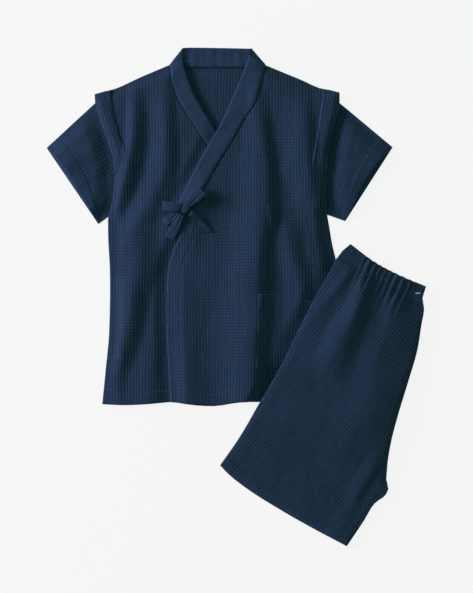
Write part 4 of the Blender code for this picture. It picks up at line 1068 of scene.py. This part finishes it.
def sleeve(name, armhole, cuff, dips):
    """A flat tube of waffle cotton with a hem at its cuff."""
    lower, upper, rise, t, width = sleeve_layers(armhole, cuff)
    i = np.arange(SLEEVE_ROWS)[:, None]
    j = np.arange(SLEEVE_ACROSS)[None, :]
    weave = waffle_relief(i, j)
    length = np.hypot(*(lower[-1, SLEEVE_ACROSS // 2] - lower[0, SLEEVE_ACROSS // 2]))
    to_cuff = (1 - i / (SLEEVE_ROWS - 1)) * length
    hem = HEM_RISE * (1 - ramp(to_cuff - HEM_MM, 1.5)) - SEAM_PULL * np.exp(-((to_cuff - HEM_MM) / 1.2) ** 2)
    fade = ramp(np.minimum(t, 1 - t) * width, 6)[None, :]
    soft = sum(height * np.exp(-(((t[None, :] - place) * width) / span) ** 2)
               * ramp(i / SLEEVE_ROWS - first, 0.3)
               for place, first, height, span in dips)
    uneven = rumple(upper[..., 0], upper[..., 1])
    top = 2 * WALL + GAP + rise + (weave + hem + uneven) * fade + soft * fade * ramp(rise, 1.5)
    outwards = (lower[:, -1] - lower[:, 0]) / np.hypot(*(lower[:, -1] - lower[:, 0]).T)[:, None]
    turn = WALL + GAP / 2
    rings = []
    for k in range(SLEEVE_ROWS):
        out = outwards[k]
        ring = [(*(lower[k, 0] + out * turn), 0.0)] + [(*p, 0.0) for p in lower[k, 2:-2:3]]
        ring += [(*(lower[k, -1] - out * turn), 0.0), (*(lower[k, -1] - out * 0.35), 0.35 * turn)]
        ring += [(*(lower[k, -1] - out * 0.1), turn), (*(upper[k, -1] - out * 0.35), 1.65 * turn)]
        ring += [(*p, z) for p, z in zip(upper[k, 1:-1][::-1], top[k, 1:-1][::-1])]
        ring += [(*(upper[k, 0] + out * 0.35), 1.65 * turn), (*(lower[k, 0] + out * 0.1), turn)]
        ring += [(*(lower[k, 0] + out * 0.35), 0.35 * turn)]
        rings.append(ring)
    inner = []
    edge_in = 2 * turn + 0.6
    for k in range(0, SLEEVE_ROWS, 5):
        out = outwards[k]
        ring = [(*(lower[k, 0] + out * edge_in), WALL)] + [(*p, WALL) for p in lower[k, 5:-5:6]]
        ring += [(*(lower[k, -1] - out * edge_in), WALL), (*(upper[k, -1] - out * edge_in), WALL + GAP)]
        ring += [(*p, WALL + GAP + r) for p, r in zip(upper[k, 5:-5:6][::-1], rise[k, 5:-5:6][::-1])]
        ring += [(*(upper[k, 0] + out * edge_in), WALL + GAP)]
        inner.append(ring)
    thing = tube_object(name, rings, inner, top_cloth)
    before = len(rings[0]) - len(top[0, 1:-1]) - 3
    # Depth in the weave on the upper layer, read by the material as painted shade in the grooves.
    marks = np.zeros((SLEEVE_ROWS, len(rings[0])))
    marks[:, before:-3] = (weave * fade)[:, 1:-1][:, ::-1]
    mark_groove_shade(thing, marks.ravel())
    return thing


def ring_faces(rings, start, flip):
    """Quads between neighbouring rings of a tube."""
    size = len(rings[0])
    faces = []
    for k in range(len(rings) - 1):
        for n in range(size):
            a, b = start + k * size + n, start + k * size + (n + 1) % size
            faces.append((a, a + size, b + size, b) if flip else (a, b, b + size, a + size))
    return faces


def bridge(outer, inner, outer_start, inner_start, flip):
    """Faces between an outer ring and an inner ring with fewer points."""
    outer_share = share_along(outer)
    inner_share = share_along(inner)
    faces, a, b = [], 0, 0
    while a < len(outer) or b < len(inner):
        next_a = outer_share[a + 1] if a < len(outer) else 9.0
        next_b = inner_share[b + 1] if b < len(inner) else 9.0
        p, q = outer_start + a % len(outer), inner_start + b % len(inner)
        if next_a <= next_b:
            a += 1
            face = (p, outer_start + a % len(outer), q)
        else:
            b += 1
            face = (p, inner_start + b % len(inner), q)
        faces.append(face[::-1] if flip else face)
    return faces


def share_along(ring):
    """How far round a ring each of its points is, from 0 to 1."""
    points = np.array([*ring, ring[0]], float)
    lengths = np.hypot(*np.diff(points[:, :2], axis=0).T) + 1e-6
    return np.concatenate([[0], np.cumsum(lengths)]) / lengths.sum()


def tube_object(name, outer, inner, material):
    """A closed wall between an outer and an inner run of rings."""
    size = len(outer[0])
    shift = len(outer) * size
    points = [p for ring in outer for p in ring] + [p for ring in inner for p in ring]
    faces = ring_faces(outer, 0, False) + ring_faces(inner, shift, True)
    faces += bridge(outer[0], inner[0], 0, shift, True)
    faces += bridge(outer[-1], inner[-1], shift - size, shift + (len(inner) - 1) * len(inner[0]), False)
    thing = add_mesh(name, points, faces, material)
    point_outwards(thing)
    return thing


def point_outwards(thing):
    """Turns a closed mesh inside out if its faces point in."""
    mesh = thing.data
    mesh.calc_loop_triangles()
    corners = np.empty(len(mesh.loop_triangles) * 3, int)
    mesh.loop_triangles.foreach_get("vertices", corners)
    places = np.empty(len(mesh.vertices) * 3)
    mesh.vertices.foreach_get("co", places)
    a, b, c = places.reshape(-1, 3)[corners.reshape(-1, 3)].transpose(1, 0, 2)
    if np.sum(a * np.cross(b, c)) < 0:
        mesh.flip_normals()


sleeve_left = sleeve("sleeve_left_cloth", ARMHOLE_LEFT, CUFF_LEFT,
                     [(0.30, 0.1, 1.2, 10), (0.62, 0.0, -0.9, 12), (0.85, 0.2, 0.9, 9)])
sleeve_right = sleeve("sleeve_right_cloth", ARMHOLE_RIGHT, CUFF_RIGHT,
                      [(0.25, 0.2, 0.8, 8), (0.5, 0.0, -0.8, 10), (0.72, 0.1, 0.7, 8)])
print("sleeves:", len(sleeve_left.data.polygons) + len(sleeve_right.data.polygons), "faces")

# %% [markdown]
# ## Shorts
#
# The shorts are folded down the middle, so one leg's front is on top and three more layers lie under it.
# Those are one solid with a groove round its edge between each two layers. The elastic in the waist
# gathers the cloth into ten small pleats, which fade out down the leg.

# %% Leg and waistband
seam_line = curve(BAND_SEAM, GATHER_PITCH / 3)
leg_left = [p for p in curve(SHORTS_LEFT, 14) if p[1] > WAIST_DEPTH]
leg_right = [p for p in curve(SHORTS_RIGHT, 12) if p[1] > WAIST_DEPTH + 1]
leg_outline = join(from_shorts(join(leg_left, curve(SHORTS_HEM, 14), curve(CROTCH, 7)[::-1],
                                    leg_right[::-1], seam_line[::-1])))
waist_line = curve(WAIST_TOP, GATHER_PITCH / 4)
waist_line[:, 1] += 0.45 * gather_wave(waist_line[:, 0])
band_outline = join(from_shorts(join(waist_line, curve(WAIST_RIGHT, 6), BAND_SEAM[-1:], seam_line[::-1],
                                     SHORTS_LEFT[1:2])))
shorts_hem = from_shorts(curve(SHORTS_HEM, 14))
band_seam = from_shorts(seam_line)


def shorts_inseam(x, y):
    """The small step of the seam allowance beside the crotch edge."""
    return -SEAM_PULL * 0.6 * np.exp(-((distance_to(x, y, from_shorts(curve(CROTCH, 7))) - 6) / 1.4) ** 2)


SHORTS_WEAVE = SHORTS_TURN - math.radians(8)
PUCKER_MM = 0.7
PUCKER_WIDTH = 6.0


def puckers(x, y):
    """Short wrinkles above and below the casing's stitches, where the elastic draws them up."""
    across, down = to_shorts(x, y)
    gather_end = GATHER_START + GATHER_COUNT * GATHER_PITCH
    gathered = ramp(across - GATHER_START + 6, 12) * ramp(gather_end + 4 - across, 12)
    near = np.exp(-((down - WAIST_DEPTH - 4) / 10) ** 2) + 0.5 * np.exp(-((down - 5) / 7) ** 2)
    wave = np.sin(2 * math.pi * (across - 0.2 * down) / PUCKER_WIDTH + 1.6 * np.sin(across / 7.0) + 0.12 * down)
    return PUCKER_MM * gathered * near * wave * (0.7 + 0.3 * np.sin(across / 5.0 + down / 6.0))


def single_at_seam(x, y):
    """The casing thins to one cloth at its seam, so that no step shows."""
    return (WALL - DOUBLE_WALL) * (1 - ramp(distance_to(x, y, band_seam), 9))


leg = panel("shorts_leg_cloth", leg_outline, shorts_front_height, WALL, shorts_cloth, turn=SHORTS_WEAVE,
            rises=[turned_edge(shorts_hem), shorts_inseam, rumple, puckers], roll=0.15)
band = panel("shorts_waistband_cloth", band_outline, shorts_front_height, DOUBLE_WALL, shorts_cloth,
             turn=SHORTS_WEAVE, rises=[single_at_seam, puckers], roll=0.12)
print("shorts:", len(leg.data.polygons) + len(band.data.polygons), "faces")

# %% Hidden layers
HIDDEN_LAYERS = 3
LAYER_GROOVE = 0.8


def hidden_layers(name, outline):
    """The three layers under the leg: flat faces, and one rounded edge for each layer."""
    ring = refine(inset(outline, GAP / 2 + LAYER_GROOVE), 3.0)
    plan, faces = coarse_net(ring, 9.0)
    x, y = plan.T
    low, high = shorts_floor(x, y), shorts_bed(x, y)
    count, size = len(plan), len(ring)
    points = [np.column_stack([plan, low]), np.column_stack([plan, high])]
    quads = [face[::-1] for face in faces] + [tuple(k + count for k in face) for face in faces]
    steps = 4 * HIDDEN_LAYERS
    loops = [np.arange(size)]
    for step in range(1, steps):
        part = step / steps
        bulge = LAYER_GROOVE * abs(math.sin(HIDDEN_LAYERS * math.pi * part))
        loops.append(np.arange(size) + 2 * count + (step - 1) * size)
        level = (1 - part) * low[:size] + part * high[:size]
        points.append(np.column_stack([inset(ring, -bulge), level]))
    loops.append(np.arange(size) + count)
    for lower, upper in zip(loops[:-1], loops[1:]):
        for k in range(size):
            n = (k + 1) % size
            quads.append((int(lower[k]), int(lower[n]), int(upper[n]), int(upper[k])))
    return add_mesh(name, np.concatenate(points), quads, shorts_cloth)


layers = hidden_layers("shorts_hidden_layers_cloth", inset(shorts_outline, 0.4))
print("hidden layers:", len(layers.data.polygons), "faces")

# %% [markdown]
# ## The bow
#
# Two ties of plain cotton are knotted in a bow over the free edge. A tie is a flat strip, so each part
# of the bow is a strip swept along a path: out along the cloth, round its tip and back for a loop, and
# down onto the cloth for an end. The strip is cupped and pleated where the knot pinches it.

# %% Strips
TIE_WIDTH = 12.5
TIE_WALL = 1.0
KNOT = (-68, 117)
KNOT_SIZE = (13, 11, 5.5)
KNOT_TURN = math.radians(35)
KNOT_REACH = KNOT_SIZE[0] / 2 + GAP + 0.4
# Rings of the knot from the cloth up: share of its height, and share of its width there.
KNOT_RINGS = [(0.0, 0.62), (0.14, 0.86), (0.3, 0.97), (0.48, 1.0), (0.62, 0.94), (0.72, 0.8), (0.77, 0.55),
              (0.79, 0.2)]
KNOT_CREASE = 0.8
LOOP_HEIGHT = 3.4
LOOP_PUFF = 1.2
LOOP_UPPER_TIP = (-44, 141)
LOOP_LEFT_TIP = (-98, 121)
TAIL_RIGHT = [(-61, 112), (-52, 104), (-43, 94), (-35, 87)]
TAIL_LOWER = [(-74, 110), (-79, 100), (-84, 89), (-90, 78)]
LOOP_EDGES = [(-77, 115), (-84, 109), (-91, 103), (-97, 98)]
LOOP_EDGES_WIDTH = 11.0
TAIL_DROP = 2.2
TAIL_SETTLE = 1.1
STRIP_ACROSS = 15


def lying_height(x, y):
    """Top of the cloth that the bow lies on."""
    over_top = np.maximum(over_surface(x, y) + WALL, right_collar_height(x, y) + DOUBLE_WALL)
    return np.where(depth_in(x, y, over_region) > -3, over_top, under_height(x, y) + WALL)


def clear_height(x, y, reach):
    """The highest point of that cloth within a reach."""
    x, y = np.ravel(x), np.ravel(y)
    around = [(0, 0)]
    for angle in np.linspace(0, 2 * math.pi, 12, endpoint=False):
        around += [(part * reach * math.cos(angle), part * reach * math.sin(angle)) for part in (0.5, 1.0)]
    dx, dy = np.array(around).T[:, :, None]
    return lying_height(x + dx, y + dy).max(axis=0)


def strip(name, path, widths, pleat):
    """A strip of tie along a path: cupped, and pleated lengthwise by a height in millimetres."""
    path = np.asarray(path, float)
    tangents = np.gradient(path, axis=0)
    far = path[np.argmax(np.hypot(*(path[:, :2] - path[0, :2]).T)), :2] - path[0, :2]
    ahead = np.array([*(far / np.hypot(*far)), 0])
    side = np.array([-ahead[1], ahead[0], 0])
    v = np.linspace(-1, 1, STRIP_ACROSS)
    thin = TIE_WALL / 2 * np.sqrt(1 - 0.8 * v ** 4)
    rings = []
    for k, (point, tangent, width) in enumerate(zip(path, tangents, widths)):
        run = np.dot(tangent, ahead)
        length = math.hypot(run, tangent[2])
        up = -ahead * tangent[2] / length + np.array([0, 0, 1]) * run / length
        fold = pleat[k] * (0.5 * np.cos(2.4 * math.pi * v + 0.6) - 0.5 * v ** 2)
        across = point + v[:, None] * side * width / 2
        top = across + (thin + fold)[:, None] * up
        bottom = across + (fold - thin)[:, None] * up
        rings.append(np.concatenate([top, bottom[::-1]]))
    size = 2 * STRIP_ACROSS
    faces = ring_faces(rings, 0, False)
    for start, flip in ((0, True), ((len(rings) - 1) * size, False)):
        for n in range(STRIP_ACROSS - 1):
            face = (start + n, start + n + 1, start + size - 2 - n, start + size - 1 - n)
            faces.append(face[::-1] if flip else face)
    thing = add_mesh(name, np.concatenate(rings), faces, collar_cloth)
    point_outwards(thing)
    return thing


print("ties are", TIE_WIDTH, "mm wide")


# %% Loops, ends and knot
def loop(name, tip, width, pleat_mm):
    """A tie folded back on itself."""
    away = np.asarray(tip, float) - KNOT
    length = np.hypot(*away)
    away = away / length
    ground = float(clear_height([KNOT[0], tip[0]], [KNOT[1], tip[1]], 8).max())
    low = ground + GAP + TIE_WALL / 2
    half = LOOP_HEIGHT / 2
    reach = length - half
    rows = [(d, low) for d in np.linspace(KNOT_REACH, reach, 12)]
    for angle in np.linspace(0, math.pi, 11)[1:-1]:
        rows.append((reach + half * math.sin(angle), low + half - half * math.cos(angle)))
    for d in np.linspace(reach, KNOT_REACH, 14):
        puff = LOOP_PUFF * math.sin(math.pi * (d - KNOT_REACH) / (reach - KNOT_REACH))
        rows.append((d, low + LOOP_HEIGHT + puff))
    path = [(KNOT[0] + d * away[0], KNOT[1] + d * away[1], z) for d, z in rows]
    share = [(d - KNOT_REACH) / (reach - KNOT_REACH) for d, z in rows]
    widths = [width * (0.62 + 0.38 * float(ramp(s, 0.7))) for s in share]
    pleat = [pleat_mm * (1 - 0.75 * float(ramp(s, 0.9))) for s in share]
    return strip(name, path, widths, pleat)


def tail(name, points, width, pleat_mm, narrow_to=1.0):
    """A free end of a tie, lying on the cloth, and narrower at its tip where it is turned on edge."""
    line = curve(points, 2)
    x, y = line.T
    ground = clear_height(x, y, width / 2 + 2)
    share = np.linspace(0, 1, len(x))
    settled = ramp(share * 2.2, 1)
    middle = ground + TAIL_DROP * (1 - settled) - TAIL_SETTLE * settled + GAP + TIE_WALL / 2
    path = np.stack([x, y, middle], axis=1)
    widths = width * (0.7 + 0.3 * ramp(share, 0.3)) * (1 + (narrow_to - 1) * share)
    return strip(name, path, widths, pleat_mm * (1 - ramp(share, 0.9)))


def knot(name):
    """The knot: a rounded pad, wrapped by the tie that goes round it."""
    ground = float(clear_height(KNOT[0], KNOT[1], 9).max())
    rings = []
    for part, size in KNOT_RINGS:
        ring = []
        for angle in np.linspace(0, 2 * math.pi, 40, endpoint=False):
            across = math.copysign(abs(math.cos(angle)) ** 0.7, math.cos(angle)) * size * KNOT_SIZE[0] / 2
            deep = math.copysign(abs(math.sin(angle)) ** 0.7, math.sin(angle)) * size * KNOT_SIZE[1] / 2
            wrap = KNOT_CREASE * math.sin(across * 1.5 + 0.5) * min(1.0, 2 * part)
            x = KNOT[0] + across * math.cos(KNOT_TURN) - deep * math.sin(KNOT_TURN)
            y = KNOT[1] + across * math.sin(KNOT_TURN) + deep * math.cos(KNOT_TURN)
            ring.append((x, y, ground + GAP + part * KNOT_SIZE[2] - max(0.0, wrap) * size))
        rings.append(ring)
    faces = ring_faces(rings, 0, False)
    faces += [tuple(range(40))[::-1], tuple(len(rings) * 40 - 40 + k for k in range(40))]
    thing = add_mesh(name, np.concatenate([np.array(ring) for ring in rings]), faces, collar_cloth)
    point_outwards(thing)
    return thing


bow_knot = knot("bow_knot_cloth")
loop_upper = loop("bow_loop_upper_cloth", LOOP_UPPER_TIP, TIE_WIDTH + 1, 1.4)
loop_left = loop("bow_loop_left_cloth", LOOP_LEFT_TIP, TIE_WIDTH, 0.8)
tail_right = tail("bow_tail_right_cloth", TAIL_RIGHT, TIE_WIDTH - 2, 0.8, 0.48)
tail_lower = tail("bow_tail_lower_cloth", TAIL_LOWER, TIE_WIDTH, 1.1)
loop_edges = tail("bow_loop_edges_cloth", LOOP_EDGES, LOOP_EDGES_WIDTH, 1.6)
bow = [bow_knot, loop_upper, loop_left, tail_right, tail_lower, loop_edges]
print("bow:", sum(len(piece.data.polygons) for piece in bow), "faces")

# %% [markdown]
# ## Stitches
#
# A row of machine stitches repeats one small shape along a line, which is what Geometry Nodes do best.
# The tree takes a line, spaces points along it by the stitch length, puts one rounded stitch on each
# point, turned along the line, and gives them the thread's material. Its sizes are named inputs.

# %% The stitch tree
STITCH_MM = 2.6
STITCH_SPACE_MM = 3.2
THREAD_MM = 0.55


def stitch_tree():
    """A Geometry Nodes tree that sews a row of stitches along a line."""
    tree = bpy.data.node_groups.new("row_of_stitches", "GeometryNodeTree")
    face = tree.interface
    face.new_socket("Line", in_out="INPUT", socket_type="NodeSocketGeometry")
    measures = (("Stitch length", STITCH_MM), ("Stitch spacing", STITCH_SPACE_MM), ("Thread width", THREAD_MM))
    for label, value in measures:
        face.new_socket(label, in_out="INPUT", socket_type="NodeSocketFloat").default_value = value * MM
    face.new_socket("Thread", in_out="INPUT", socket_type="NodeSocketMaterial")
    face.new_socket("Stitches", in_out="OUTPUT", socket_type="NodeSocketGeometry")
    given = add_node(tree, "NodeGroupInput").outputs
    line = add_node(tree, "GeometryNodeMeshToCurve", Mesh=given["Line"])
    spaced = add_node(tree, "GeometryNodeResampleCurve", Curve=line.outputs[0])
    spaced.mode = "LENGTH"
    tree.links.new(given["Stitch spacing"], spaced.inputs["Length"])
    stitch = add_node(tree, "GeometryNodeMeshUVSphere", Segments=6, Rings=4, Radius=0.5)
    round_it = add_node(tree, "GeometryNodeSetShadeSmooth", Geometry=stitch.outputs[0])
    size = add_node(tree, "ShaderNodeCombineXYZ", X=given["Stitch length"], Y=given["Thread width"],
                    Z=given["Thread width"])
    tangent = add_node(tree, "GeometryNodeInputTangent")
    turn = add_node(tree, "FunctionNodeAlignRotationToVector", {"axis": "X"}, Vector=tangent.outputs[0])
    sewn = add_node(tree, "GeometryNodeInstanceOnPoints", Points=spaced.outputs[0],
                    Instance=round_it.outputs[0],
                    Rotation=turn.outputs[0], Scale=size.outputs[0])
    real = add_node(tree, "GeometryNodeRealizeInstances", Geometry=sewn.outputs[0])
    dyed = add_node(tree, "GeometryNodeSetMaterial", Geometry=real.outputs[0], Material=given["Thread"])
    add_node(tree, "NodeGroupOutput", Stitches=dyed.outputs[0])
    return tree


row_of_stitches = stitch_tree()
print("stitch tree has", len(row_of_stitches.nodes), "nodes")


# %% Sewing rows
def sew(name, rows, thread=None, spacing=STITCH_SPACE_MM, width=THREAD_MM):
    """Sews rows of stitches; each row is a run of points in millimetres."""
    points, edges = [], []
    for row in rows:
        edges += [(len(points) + k, len(points) + k + 1) for k in range(len(row) - 1)]
        points += [tuple(float(v) * MM for v in p) for p in row]
    mesh = bpy.data.meshes.new(name)
    mesh.from_pydata(points, edges, [])
    thing = bpy.data.objects.new(name, mesh)
    bpy.context.scene.collection.objects.link(thing)
    modifier = thing.modifiers.new("stitches", "NODES")
    modifier.node_group = row_of_stitches
    keys = {item.name: item.identifier for item in row_of_stitches.interface.items_tree}
    modifier[keys["Stitch length"]] = (spacing - 0.6) * MM
    modifier[keys["Stitch spacing"]] = spacing * MM
    modifier[keys["Thread width"]] = width * MM
    modifier[keys["Thread"]] = thread or navy_thread
    view = bpy.context.evaluated_depsgraph_get()
    sewn = bpy.data.meshes.new_from_object(thing.evaluated_get(view))
    thing.modifiers.clear()
    thing.data = sewn
    print(name, "has", len(sewn.polygons) // 24, "stitches")
    return thing


def moved_in(line, distance, keep):
    """A line moved sideways by a distance, with only the points that a rule keeps."""
    line = refine_line(line, 4.0)
    direction = np.gradient(line, axis=0)
    direction = direction / np.hypot(*direction.T)[:, None]
    moved = line + distance * np.stack([-direction[:, 1], direction[:, 0]], axis=1)
    return moved[keep(moved[:, 0], moved[:, 1])]


def refine_line(line, step):
    """An open line with a point about every step."""
    line = np.asarray(line, float)
    along = np.concatenate([[0], np.cumsum(np.hypot(*np.diff(line, axis=0).T))])
    t = np.linspace(0, along[-1], max(2, round(along[-1] / step)) + 1)
    return np.stack([np.interp(t, along, line[:, k]) for k in (0, 1)], axis=1)


def on_cloth(line, height, wall=WALL, lift=0.0):
    """Points of a row, laid on the upper face of a layer."""
    x, y = line.T
    return np.column_stack([line, height(x, y) + wall + lift])


def inside(outline, margin):
    """A rule that keeps points inside an outline by a margin."""
    return lambda x, y: depth_in(x, y, outline) > margin


under_hem_row = moved_in(hem_under, HEM_MM,
                         lambda x, y: (depth_in(x, y, over_region) < -2) & (depth_in(x, y, body) > 3))
over_hem_row = moved_in(hem_over, HEM_MM, inside(over_outline, 4))
free_row = moved_in(free_hem, HEM_MM, inside(over_outline, 8))
top_rows = [on_cloth(under_hem_row, under_height), on_cloth(over_hem_row, over_height, lift=0.05),
            on_cloth(free_row, over_height, lift=0.05)]
hem_stitches = sew("hem_stitches", top_rows)

# %% Stitches of the collar, pocket and tucks
left_row = moved_in(curve(LEFT_SEAM), 2.2, inside(left_outline, 1.2))
left_row = left_row[depth_in(left_row[:, 0], left_row[:, 1], over_region) < -2]
right_row = moved_in(right_seam, -2.2, inside(right_outline, 1.2))
collar_stitches = sew("collar_stitches", [
    on_cloth(left_row, left_collar_height, DOUBLE_WALL, -0.35),
    on_cloth(right_row, right_collar_height, DOUBLE_WALL, -0.35)])
around = inset(refine(pocket_outline, 4.0), POCKET_STITCH)
around = around[distance_to(around[:, 0], around[:, 1], pocket_top) > 1.5]
turn_at = int(np.argmax(np.hypot(*(around - np.roll(around, 1, axis=0)).T)))
around = np.roll(around, -turn_at, axis=0)
band_row = moved_in(pocket_top[::-1], POCKET_BAND, inside(pocket_outline, 3))
pocket_stitches = sew("pocket_stitches", [on_cloth(around, sewn_height, lift=-0.3),
                                          on_cloth(band_row, sewn_height, lift=-0.2)])
print("collar and pocket sewn")

# %% Stitches of the shorts
shorts_hem_row = moved_in(shorts_hem, HEM_MM, inside(leg_outline, 3))
casing_row = moved_in(band_seam, 2.5, inside(band_outline, 1.0))
shorts_stitches = sew("shorts_stitches", [on_cloth(shorts_hem_row, shorts_front_height),
                                          on_cloth(casing_row, shorts_front_height, DOUBLE_WALL, -0.4)])
MARK = (244, 4)
MARK_MM = 5.6
MARK_DEEP = 1.5
mark_row = [(MARK[0] + (k / 9 - 0.5) * MARK_MM, MARK[1] + side * MARK_DEEP / 2)
            for k in range(10) for side in (-1, 1)]
mark = np.array(mark_row)
front_mark = sew("front_mark", [on_cloth(mark, shorts_front_height, DOUBLE_WALL, 0.1)], white_thread, 1.2, 0.7)

# %% [markdown]
# ## Table, light and camera
#
# The set lies on a plain pale table that glows, as one lit from below does, so that no shadow is left on
# it. One broad light stands low at the left, which is what brings out the folds and the weave. A weak
# light above and the tinted surroundings fill the shade.

# %% Table and lights
TABLE_HALF = 3
TABLE_LEVEL = -0.0004
TABLE_GREY = "#444444"
TABLE_GLOW = 0.87
SHADE_TINT = "#cbffd2"
SHADE_STRENGTH = 0.24


def table_top():
    """A pale table, larger than the view."""
    mesh = bpy.data.meshes.new("table")
    corners = [(x * TABLE_HALF, y * TABLE_HALF, TABLE_LEVEL) for x, y in ((-1, -1), (1, -1), (1, 1), (-1, 1))]
    mesh.from_pydata(corners, [], [(0, 1, 2, 3)])
    material, tree, shader, where = new_material("table_white")
    shader.inputs["Base Color"].default_value = linear(TABLE_GREY)
    shader.inputs["Roughness"].default_value = 1.0
    shader.inputs["Emission Color"].default_value = linear("#ffffff")
    shader.inputs["Emission Strength"].default_value = TABLE_GLOW
    mesh.materials.append(material)
    thing = bpy.data.objects.new("table", mesh)
    bpy.context.scene.collection.objects.link(thing)
    return thing


def soft_light(name, place, size, power, colour):
    """A broad soft light that faces the middle of the table."""
    data = bpy.data.lights.new(name, "AREA")
    data.shape = "RECTANGLE"
    data.size, data.size_y = size
    data.energy = power
    data.color = colour
    lamp = bpy.data.objects.new(name, data)
    lamp.location = place
    lamp.rotation_euler = (-Vector(place)).to_track_quat("-Z", "Y").to_euler()
    bpy.context.scene.collection.objects.link(lamp)
    return lamp


table = table_top()
soft_light("window_light", (-2.7, 0.75, 0.98), (1.5, 0.7), 112, (0.9, 0.9, 1.0))
soft_light("fill_light", (0.3, 0.6, 3.0), (2.5, 2.5), 16, (0.55, 1.0, 0.58))
world = bpy.data.worlds.new("studio")
world.use_nodes = True
world.node_tree.nodes["Background"].inputs["Color"].default_value = linear(SHADE_TINT)
world.node_tree.nodes["Background"].inputs["Strength"].default_value = SHADE_STRENGTH
bpy.context.scene.world = world
bpy.context.scene.view_settings.view_transform = "Standard"
print("table and lights set")

# %% Camera
VIEW_ROWS = 593
ROW_MM = 1.35
FRAME_HEIGHT = VIEW_ROWS * ROW_MM * MM
LENS = 85
SENSOR = 36
camera = bpy.data.objects.new("camera", bpy.data.cameras.new("camera"))
camera.data.lens = LENS
camera.data.sensor_width = SENSOR
camera.location = (0.00027, -0.00047, FRAME_HEIGHT * LENS / SENSOR)
bpy.context.scene.collection.objects.link(camera)
bpy.context.scene.camera = camera
print("camera height in mm:", round(camera.location.z / MM))

# %% [markdown]
# ## The pieces and their solids
#
# Each piece stands for a solid of the frame and rides on it.

# %% Which solid each piece stands for
pieces = {
    "back_panel": back, "front_under": under, "front_over": over, "collar_back_neck": neck,
    "collar_left": collar_left, "collar_right": collar_right, "shoulder_tuck_left": tuck_cloth_left,
    "shoulder_tuck_right": tuck_cloth_right, "pocket": pocket, "sleeve_left": sleeve_left,
    "sleeve_right": sleeve_right, "shorts_leg": leg, "shorts_waistband": band, "shorts_hidden_layers": layers,
    "bow_knot": bow_knot, "bow_loop_upper": loop_upper, "bow_loop_left": loop_left,
    "bow_tail_right": tail_right, "bow_tail_lower": tail_lower,
}
for node, piece in pieces.items():
    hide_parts(node)
    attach(piece, "root")
for piece, slot in ((hem_stitches, "waffle_cotton"), (collar_stitches, "plain_cotton"),
                    (pocket_stitches, "waffle_cotton"), (shorts_stitches, "waffle_cotton"),
                    (front_mark, "waffle_cotton"), (loop_edges, "plain_cotton")):
    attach(piece, "root")
print("pieces handed over:", len(pieces) + 6)
